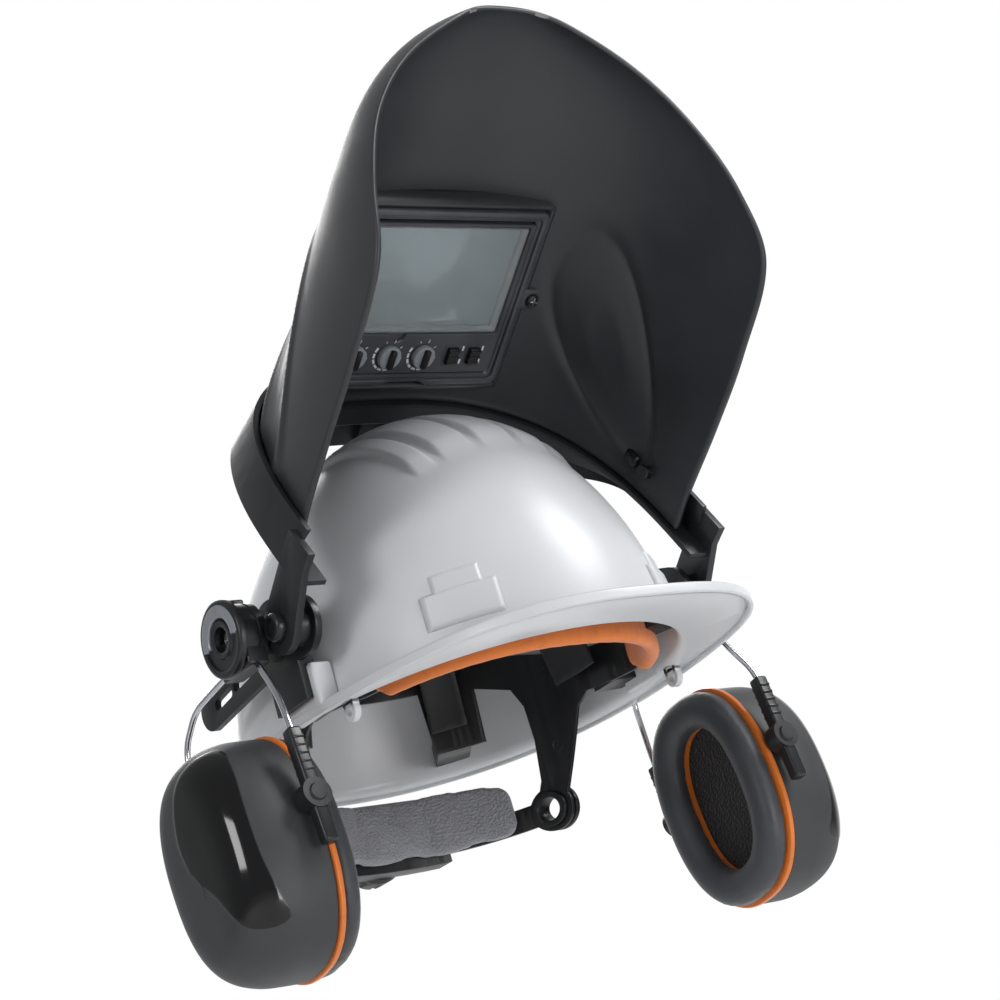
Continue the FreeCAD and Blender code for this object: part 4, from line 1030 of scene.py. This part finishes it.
def build_hub(side, mirrored):
    bm = bmesh.new()
    lathe(bm, ((115.3, 6.7), (115.3, 8.6), (123.6, 8.6), (124.2, 9.6), (124.2, 15.0), (125.2, 16.0),
               (128.6, 16.0), (129.0, 15.3), (129.8, 15.3), (130.2, 16.0), (136.2, 16.0),
               (137.0, 15.2), (137.0, 6.7), (115.3, 6.7)), HUB)
    block(bm, (126.0, -39.4, 22.6), (137.0, -12.6, 40.0), 1.6, 4)
    for y in (-34.0, -29.0, -23.0, -18.0):
        block(bm, (136.2, y - 0.8, 24.0), (137.6, y + 0.8, 31.0), 0.5, 2)
    block(bm, (125.0, -29.0, 52.0), (134.0, -23.0, 58.2), 1.2, 3)
    finish_piece("hub_drum_" + side, bm, "hub_" + side, "mount_black", ("hub_housing_" + side,),
                 None, mirrored, merge=0.0)
    bm = bmesh.new()
    lathe(bm, ((137.2, 6.0), (137.2, 17.6), (137.8, 18.5), (139.6, 18.5), (140.6, 18.1),
               (141.2, 17.2), (141.2, 15.2), (140.9, 14.6), (139.9, 14.3), (139.8, 9.5),
               (140.3, 9.0), (140.9, 8.7), (141.0, 6.6), (140.6, 6.0), (137.2, 6.0)), HUB)
    finish_piece("hub_cover_" + side, bm, "hub_" + side, "mount_black", ("hub_cap_" + side,), None,
                 mirrored)
    build_cap_sector("hub_light_sector_" + side, side, mirrored)
    bm = bmesh.new()
    lathe(bm, ((134.1, 0.0), (134.1, 4.6), (135.4, 4.6), (136.6, 3.9), (137.4, 2.6), (137.5, 2.1),
               (136.2, 2.0), (135.9, 0.0)), HUB, 48)
    drum(bm, (120.2, HUB.y, HUB.z), (134.2, HUB.y, HUB.z), 2.5, 24)
    finish_piece("hub_bolt_" + side, bm, "helmet", "screw_steel", ("hub_screw_" + side,), None,
                 mirrored, merge=0.005)


def build_cap_sector(name, side, mirrored):
    # The light upper sector that lies in the cap's dish.
    bm = bmesh.new()
    bmesh.ops.create_grid(bm, x_segments=56, y_segments=8, size=1.0)
    for vert in bm.verts:
        angle = math.radians(-8.0 + (vert.co.x + 1.0) / 2.0 * 196.0)
        radius = 9.7 + (vert.co.y + 1.0) / 2.0 * 7.1
        edge = min((1.0 - abs(vert.co.x)) * 25.0, (1.0 - abs(vert.co.y)) * 3.5)
        x = 140.0 + 1.35 * smooth(edge, -0.1, 0.9)
        vert.co = Vector((x, HUB.y + radius * math.cos(angle), HUB.z + radius * math.sin(angle)))
    piece = finish_piece(name, bm, "hub_" + side, "cap_grey", (), None, mirrored, sharp_angle=60.0)
    add_modifier(piece, "SOLIDIFY", thickness=0.5 * MM, offset=-1.0)


class HELMET_OT_muffs(bpy.types.Operator):
    """Makes the ear cups, rings, cushions, sliders, wires and hubs"""
    bl_idname = "helmet.muffs"
    bl_label = "Ear muffs"

    def execute(self, context):
        sizes = context.scene.helmet_sizes
        for side, mirrored in SIDES:
            build_cup("cup_body_" + side, side, mirrored)
            build_cup_ring("cup_collar_" + side, side, mirrored)
            build_cushion("cushion_" + side, side, mirrored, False)
            build_ear_foam("cup_foam_" + side, side, mirrored)
            build_slider("slider_bar_front_" + side, side, mirrored, -1.0, "slider_front_" + side)
            build_slider("slider_bar_rear_" + side, side, mirrored, 1.0, "slider_rear_" + side)
            build_wire("bow_" + side, side, mirrored, sizes)
            build_hub(side, mirrored)
            softened("muff_mount_" + side, 0.6, "mount_black", "helmet", 3)
        return {"FINISHED"}


# ------------------------------------------------------------ welding shield, in its lowered place

SHIELD_BACK_Y = -60.0
SHIELD_POWER = 2.6
SHIELD_SECTIONS = ((8.2, 113.5, -187.0), (-25.0, 115.0, -190.0), (-60.0, 115.5, -193.0),
                   (-100.0, 115.0, -197.0), (-140.0, 113.8, -202.0), (-165.0, 109.5, -206.0),
                   (-182.0, 101.0, -207.0), (-195.0, 86.0, -206.0), (-205.0, 62.0, -203.0),
                   (-213.0, 36.0, -197.0))
SHIELD_EDGE = ((-66.0, 8.2), (-69.6, -10.7), (-71.9, -49.6), (-75.2, -91.0), (-85.3, -139.5),
               (-114.7, -161.7), (-148.7, -180.0), (-172.7, -193.8), (-192.2, -205.9),
               (-199.0, -207.0))
BAY_HALF_X = 60.0
BAY_HALF_Z = 52.5
BAY_LAP = 0.8
SHIELD_ROWS = 170
SHIELD_LINES = 210


def edge_table():
    # The shield's side edge as rows of (length so far, y, z).
    rows = [(0.0, *SHIELD_EDGE[0])]
    for before, here in zip(SHIELD_EDGE, SHIELD_EDGE[1:]):
        step = math.dist(before, here)
        rows.append((rows[-1][0] + step, *here))
    return rows


def shield_point(across, down, table):
    # A point of the shield's skin: across runs side to side, down from the brow to the chin.
    edge_y, z = along(table, down * table[-1][0])
    half_x, front_y = along(SHIELD_SECTIONS, z)
    share = max((edge_y - SHIELD_BACK_Y) / (front_y - SHIELD_BACK_Y), 0.0)
    start = math.asin(min(share ** (SHIELD_POWER / 2.0), 1.0))
    angle = start + (math.pi - 2.0 * start) * across
    x = math.copysign(abs(math.cos(angle)) ** (2.0 / SHIELD_POWER), math.cos(angle))
    y = abs(math.sin(angle)) ** (2.0 / SHIELD_POWER)
    return Vector((half_x * x, SHIELD_BACK_Y + (front_y - SHIELD_BACK_Y) * y, z))


def cheek_dish(place):
    # A long oval pressed out of each cheek, from beside the filter down to the hinge.
    if abs(place.x) < 40.0:
        return 0.0
    run = Vector((place.y + 141.0, place.z + 52.0))
    axis = Vector((0.55, 0.835))
    length = run.dot(axis)
    width = run.x * axis.y - run.y * axis.x
    bow = width + 7.0 * (1.0 - (length / 55.0) ** 2)
    reach = math.hypot(length / 58.0, bow / 21.0)
    line = math.exp(-((reach - 1.0) / 0.11) ** 2)
    return 1.3 * line - 2.6 * (1.0 - smooth(reach, 0.35, 1.0))


def build_shield(sizes):
    table = edge_table()
    bm = bmesh.new()
    bmesh.ops.create_grid(bm, x_segments=SHIELD_LINES, y_segments=SHIELD_ROWS, size=1.0)
    for vert in bm.verts:
        place = shield_point((vert.co.x + 1.0) / 2.0, (vert.co.y + 1.0) / 2.0, table)
        middle = Vector((0.0, -90.0, place.z))
        out = (place - middle).normalized()
        roll = 1.0 - smooth((vert.co.y + 1.0) / 2.0 * table[-1][0], 0.0, 3.0)
        vert.co = place + out * (cheek_dish(place) - 0.8 * roll)
    bmesh.ops.remove_doubles(bm, verts=bm.verts, dist=0.02)
    local = (Matrix.Translation(FACE_CENTRE) @ Matrix.Rotation(math.radians(-FACE_TILT), 4, "X"))
    up = local.to_3x3() @ Vector((0, 0, 1))
    for half, way in ((BAY_HALF_X - BAY_LAP, Vector((1, 0, 0))), (BAY_HALF_Z - BAY_LAP, up)):
        for sign in (-1.0, 1.0):
            bmesh.ops.bisect_plane(bm, geom=list(bm.verts) + list(bm.edges) + list(bm.faces),
                                   plane_co=FACE_CENTRE + way * half * sign, plane_no=way)
    back = local.inverted()
    inside = [f for f in bm.faces
              if abs((back @ f.calc_center_median()).x) < BAY_HALF_X - BAY_LAP
              and abs((back @ f.calc_center_median()).z) < BAY_HALF_Z - BAY_LAP]
    bmesh.ops.delete(bm, geom=inside, context="FACES")
    piece = finish_piece("shield_skin", bm, "visor", "shield_black", ("shield_shell",),
                         SHIELD_PLACE, merge=0.02, sharp_angle=60.0)
    add_modifier(piece, "SOLIDIFY", thickness=sizes.shield_wall, offset=-1.0)


BROW_SECTION = ((9.0, 108.0, -181.2), (20.4, 109.0, -182.0), (21.2, 109.6, -182.6),
                (21.2, 112.4, -186.4), (22.0, 112.8, -187.0), (36.4, 111.4, -186.2),
                (37.0, 112.0, -186.8), (36.6, 113.4, -188.4), (20.0, 115.2, -189.6),
                (9.0, 116.0, -190.4))
BROW_END = 9.0
BROW_STEPS = 128


def build_brow_band():
    # The carrier's brow: a stepped wall above the shield's top edge, lower at its ends.
    bm = bmesh.new()
    loops = []
    for step in range(BROW_STEPS + 1):
        angle = math.radians(BROW_END + (180.0 - 2.0 * BROW_END) * step / BROW_STEPS)
        x = math.copysign(abs(math.cos(angle)) ** (2.0 / SHIELD_POWER), math.cos(angle))
        y = math.sin(angle) ** (2.0 / SHIELD_POWER)
        share = 0.12 + 0.88 * smooth(math.sin(angle), 0.2, 0.8)
        ring = []
        for z, half_x, front_y in BROW_SECTION:
            height = 9.0 + (z - 9.0) * share
            place = (half_x * x, SHIELD_BACK_Y + (front_y - SHIELD_BACK_Y) * y, height)
            ring.append(bm.verts.new(place))
        for near, far in zip(ring, ring[1:] + ring[:1]):
            bm.edges.new((near, far))
        loops.append(ring)
    loft(bm, loops, True, True)
    for x in (-7.0, 9.0):
        block(bm, (x - 0.8, -187.6, 20.6), (x + 0.8, -183.0, 33.0), 0.3, 1)
    finish_piece("carrier_brow", bm, "visor", "shield_black", place=SHIELD_PLACE,
                 finish="yoke_black", merge=0.0, sharp_angle=30.0)


def build_shield_lock(side, mirrored):
    # A round peg beside an oval slot, inside the shield's cheek.
    bm = bmesh.new()
    drum(bm, (111.6, -99.0, -4.0), (106.6, -99.0, -4.0), 3.5, 32, 3.1)
    drum(bm, (106.8, -99.0, -4.0), (106.1, -99.0, -4.0), 4.3, 32, 3.8)
    block(bm, (106.0, -116.0, -8.2), (110.2, -106.0, -1.0), 3.0, 6)
    finish_piece("shield_lock_" + side, bm, "visor", "key_black", place=SHIELD_PLACE,
                 mirrored=mirrored, merge=0.0)


def build_bay(sizes):
    # The box that holds the filter, open at the back, with a window in its front.
    bm = bmesh.new()
    block(bm, (-BAY_HALF_X, -17.5, -BAY_HALF_Z), (BAY_HALF_X, -2.0, BAY_HALF_Z))
    long_edges = [e for e in bm.edges
                  if abs((e.verts[0].co - e.verts[1].co).normalized().y) > 0.9]
    bmesh.ops.bevel(bm, geom=long_edges, offset=2.0, offset_type="OFFSET", segments=4, profile=0.5,
                    affect="EDGES", material=-1)
    front = [f for f in bm.faces if f.normal.y < -0.9]
    bmesh.ops.bevel(bm, geom=list(front[0].edges), offset=2.0, offset_type="OFFSET", segments=4,
                    profile=0.5, affect="EDGES", material=-1)
    bmesh.ops.delete(bm, geom=[f for f in bm.faces if f.normal.y > 0.9], context="FACES")
    front = [f for f in bm.faces if f.normal.y < -0.999]
    bmesh.ops.inset_region(bm, faces=front, thickness=8.0, depth=0.0)
    bmesh.ops.inset_region(bm, faces=front, thickness=1.2, depth=-1.2)
    bmesh.ops.delete(bm, geom=front, context="FACES")
    piece = finish_piece("shield_bay", bm, "visor", "shield_black", place=FACE_PLACE, sharp_angle=50.0)
    add_modifier(piece, "SOLIDIFY", thickness=sizes.shield_wall, offset=-1.0)
    for side, mirrored in SIDES:
        bm = bmesh.new()
        drum(bm, (62.5, -9.0, 0.0), (62.5, -4.2, 0.0), 4.6, 32, 4.4)
        finish_piece("bay_boss_" + side, bm, "visor", "shield_black", place=FACE_PLACE,
                     mirrored=mirrored)


# ------------------------------------------------------------ filter cartridge, on its own face's axes

FRAME_HALF = (57.0, 49.5)
SCREW_X = (-62.5, 62.5)
SWITCH_X = (24.0, 37.0)
KNOBS = (("shade", -35.0), ("sensitivity", -14.5), ("delay", 6.0))
KNOB_Z = 32.0
WINDOW_MIDDLE = -10.5
WINDOW_HALF = (45.0, 27.5)
CASE_HALF = (50.4, 42.4)
CASE_BACK = -11.8
THUMB_X = -12.0


def rounded_loop(bm, half_x, half_z, radius, y, per_side=22, per_corner=7, middle=0.0):
    # A rectangle with round corners, standing across the local Y axis.
    verts = []
    corners = ((1, 1, 0), (-1, 1, 90), (-1, -1, 180), (1, -1, 270))
    for index, (sx, sz, first) in enumerate(corners):
        centre = Vector((sx * (half_x - radius), y, middle + sz * (half_z - radius)))
        for step in range(per_corner + 1):
            angle = math.radians(first + 90.0 * step / per_corner)
            verts.append(centre + Vector((radius * math.cos(angle), 0, radius * math.sin(angle))))
        nx, nz, _ = corners[(index + 1) % 4]
        following = Vector((nx * (half_x - radius), y, middle + nz * (half_z - radius)))
        turn = math.radians(first + 90.0)
        start = verts[-1]
        end = following + Vector((radius * math.cos(turn), 0, radius * math.sin(turn)))
        for step in range(1, per_side):
            verts.append(start.lerp(end, step / per_side))
    ring = [bm.verts.new(v) for v in verts]
    for near, far in zip(ring, ring[1:] + ring[:1]):
        bm.edges.new((near, far))
    return ring


def skin_rings(bm, rings):
    # Joins rings point by point, where bridging them would pick a twisted start.
    for near, far in zip(rings, rings[1:]):
        for index in range(len(near)):
            bm.faces.new((near[index - 1], near[index], far[index], far[index - 1]))


def build_filter_frame():
    # A stepped frame with a thumb notch in its lower side and an ear for each screw.
    bm = bmesh.new()
    steps = ((0.0, -4.0, 4.0), (0.0, -1.1, 4.0), (0.4, -0.3, 4.0), (1.2, 0.0, 3.6), (3.2, 0.0, 3.0),
             (3.6, -0.3, 3.0), (3.8, -1.5, 2.8), (5.2, -1.6, 2.5), (5.5, -1.9, 2.4), (6.0, -2.4, 2.2),
             (6.2, -4.0, 2.2))
    loops = [rounded_loop(bm, FRAME_HALF[0] - inset, FRAME_HALF[1] - inset, radius, y)
             for inset, y, radius in steps]
    for vert in bm.verts:
        if vert.co.z > 44.0:
            dip = 1.0 - smooth(abs(vert.co.x), 9.0, 14.0)
            vert.co.z -= 2.2 * dip * smooth(vert.co.z, 44.0, 48.0)
    skin_rings(bm, loops + loops[:1])
    for low, high in ((-66.8, -55.0), (55.0, 66.8)):
        block(bm, (low, -4.0, -5.6), (high, -0.4, 5.6), 1.4, 4)
    finish_piece("filter_frame", bm, "visor", "frame_black", ("cartridge_frame",), FACE_PLACE,
                 merge=0.0)


def build_cartridge_case():
    # The face of the cartridge: a stepped window and a strip that carries the controls.
    bm = bmesh.new()
    outer = [(CASE_HALF[0] - inset, CASE_HALF[1] - inset, 0.0, y)
             for inset, y in ((0.0, CASE_BACK), (0.0, -1.3), (0.4, -0.8))]
    window = [(WINDOW_HALF[0] + out, WINDOW_HALF[1] + out, WINDOW_MIDDLE, y)
              for out, y in ((3.4, -0.8), (3.0, -1.1), (2.6, -2.5), (1.0, -2.6), (0.4, -3.0),
                             (0.0, -3.6), (0.0, -5.0), (3.0, -5.1), (3.0, CASE_BACK))]
    loops = [rounded_loop(bm, half_x, half_z, 1.4, y, 90, middle=middle)
             for half_x, half_z, middle, y in outer + window]
    lip = len(outer)
    for ring in loops[lip:lip + 3]:
        for vert in ring:
            reach = (vert.co.x - THUMB_X) / 4.6
            if vert.co.z > 17.0 and abs(reach) < 1.0:
                vert.co.z += 4.2 * math.sqrt(1.0 - reach**2)
    skin_rings(bm, loops + loops[:1])
    for x in SWITCH_X:
        block(bm, (x - 4.2, -0.9, KNOB_Z - 6.2), (x + 4.2, -0.55, KNOB_Z + 6.2), 0.3, 1)
    finish_piece("cartridge_case", bm, "visor", "frame_black", ("cartridge_body",), FACE_PLACE,
                 merge=0.0, sharp_angle=28.0)


def facing(x, z):
    # Puts a shape spun round the X axis on the filter's face, pointing at the wearer.
    return FACE_PLACE @ Matrix.Translation((x, 0.0, z)) @ Matrix.Rotation(math.pi / 2, 4, "Z")


def build_frame_screws():
    bm = bmesh.new()
    for x in SCREW_X:
        before = set(bm.verts)
        lathe(bm, ((0.05, 0.0), (0.05, 3.7), (0.9, 3.6), (1.7, 2.9), (2.2, 1.6), (2.3, 0.0)),
              Vector((0, 0, 0)), 40)
        drum(bm, (-7.5, 0, 0), (0.1, 0, 0), 1.6, 20)
        made = [v for v in bm.verts if v not in before]
        bmesh.ops.transform(bm, matrix=facing(x, 0.0), verts=made)
    finish_piece("frame_screw_pair", bm, "visor", "key_black", ("frame_screws",), merge=0.005)
    for index, x in enumerate(SCREW_X):
        bm = bmesh.new()
        block(bm, (1.9, -2.4, -0.45), (2.45, 2.4, 0.45), 0.12, 1)
        block(bm, (1.9, -0.45, -2.4), (2.45, 0.45, 2.4), 0.12, 1)
        finish_piece("screw_cross_%d" % index, bm, "visor", "screw_steel", place=facing(x, 0.0),
                     merge=0.0)


def build_filter_glass():
    bm = bmesh.new()
    block(bm, (-47.6, -9.4, -40.6), (47.6, -5.2, 19.6), 0.5, 2)
    finish_piece("filter_plate", bm, "visor", "filter_dark", ("filter_glass",), FACE_PLACE)


def build_knob(name, x):
    bm = bmesh.new()
    lathe(bm, ((-0.4, 0.0), (-0.4, 6.2), (0.6, 6.4), (1.8, 6.4), (2.5, 6.0), (2.7, 5.4),
               (2.7, 4.6), (2.5, 0.0)), Vector((0, 0, 0)), 64)
    drum(bm, (-5.5, 0, 0), (-0.3, 0, 0), 2.2, 24)
    finish_piece("knob_face_" + name, bm, "dial_" + name, "control_grey", ("knob_" + name,),
                 facing(x, KNOB_Z), merge=0.005)
    bm = bmesh.new()
    block(bm, (2.3, -1.5, -5.2), (5.2, 1.5, 5.2), 0.7, 3)
    finish_piece("knob_grip_" + name, bm, "dial_" + name, "key_black", place=facing(x, KNOB_Z))


def build_marks():
    # Plain tick marks round the knobs and beside the switches.
    bm = bmesh.new()
    for _, x in KNOBS:
        marks = [(84.0 + 24.0 * step, 1.2, 2.5) for step in range(6)]
        marks += [(250.0, 1.0, 0.4), (285.0, 1.8, 0.4), (325.0, 1.4, 0.4), (10.0, 1.4, 0.4),
                  (48.0, 1.0, 0.4)]
        for degrees, long, wide in marks:
            made = bmesh.ops.create_cube(bm, size=1.0)["verts"]
            spin = Matrix.Rotation(-math.radians(degrees), 4, "Y")
            shape = Matrix.Diagonal((long, 0.16, wide, 1.0))
            place = (Matrix.Translation((x, -0.74, KNOB_Z)) @ spin
                     @ Matrix.Translation((7.5 + long / 2, 0, 0)) @ shape)
            bmesh.ops.transform(bm, matrix=place, verts=made)
    for x in (30.5, 42.6):
        for z in (-5.0, 2.6):
            block(bm, (x - 0.5, -0.84, KNOB_Z + z), (x + 0.5, -0.66, KNOB_Z + z + 2.6))
    finish_piece("scale_marks", bm, "visor", "shell_white", place=FACE_PLACE, merge=0.0)


def build_hinge_button(side, mirrored):
    bm = bmesh.new()
    lathe(bm, ((123.3, 4.06), (123.3, 6.6), (126.6, 6.6), (127.5, 6.0), (127.9, 5.0),
               (127.9, 4.06), (123.3, 4.06)), PIVOT, 48)
    finish_piece("hinge_button_" + side, bm, "visor", "mount_black", ("hinge_cap_" + side,),
                 SHIELD_PLACE, mirrored)


class HELMET_OT_shield(bpy.types.Operator):
    """Makes the welding shield, its carrier and hinge caps"""
    bl_idname = "helmet.shield"
    bl_label = "Welding shield"

    def execute(self, context):
        sizes = context.scene.helmet_sizes
        build_shield(sizes)
        build_bay(sizes)
        softened("carrier_yoke", 0.7, "shield_black", "visor", 3, finish="yoke_black")
        build_brow_band()
        for side, mirrored in SIDES:
            build_shield_lock(side, mirrored)
            build_hinge_button(side, mirrored)
        return {"FINISHED"}


class HELMET_OT_filter(bpy.types.Operator):
    """Makes the filter cartridge with its frame, glass and controls"""
    bl_idname = "helmet.filter"
    bl_label = "Filter cartridge"

    def execute(self, context):
        build_filter_frame()
        build_frame_screws()
        build_filter_glass()
        build_cartridge_case()
        for name, x in KNOBS:
            build_knob(name, x)
        for name in ("mode", "range"):
            softened("switch_" + name, 0.25, "key_black", "key_" + name)
        build_marks()
        return {"FINISHED"}


# ------------------------------------------------------------ panel and running

OPERATORS = (HELMET_OT_stage, HELMET_OT_shell, HELMET_OT_harness, HELMET_OT_muffs,
             HELMET_OT_shield, HELMET_OT_filter)


class HELMET_PT_maker(bpy.types.Panel):
    """Buttons and settings for the helmet"""
    bl_label = "Helmet maker"
    bl_idname = "HELMET_PT_maker"
    bl_space_type = "VIEW_3D"
    bl_region_type = "UI"
    bl_category = "Helmet"

    def draw(self, context):
        for kind in OPERATORS:
            self.layout.operator(kind.bl_idname)
        for group in (context.scene.helmet_sizes, context.scene.helmet_colours):
            for name in group.bl_rna.properties.keys():
                if name not in ("rna_type", "name"):
                    self.layout.prop(group, name)


CLASSES = (HelmetColours, HelmetSizes, *OPERATORS, HELMET_PT_maker)


def register():
    for kind in CLASSES:
        bpy.utils.register_class(kind)
    bpy.types.Scene.helmet_colours = bpy.props.PointerProperty(type=HelmetColours)
    bpy.types.Scene.helmet_sizes = bpy.props.PointerProperty(type=HelmetSizes)


def unregister():
    del bpy.types.Scene.helmet_sizes
    del bpy.types.Scene.helmet_colours
    for kind in reversed(CLASSES):
        bpy.utils.unregister_class(kind)


def main():
    register()
    for kind in OPERATORS:
        group, action = kind.bl_idname.split(".")
        getattr(getattr(bpy.ops, group), action)()


if __name__ == "__main__":
    main()
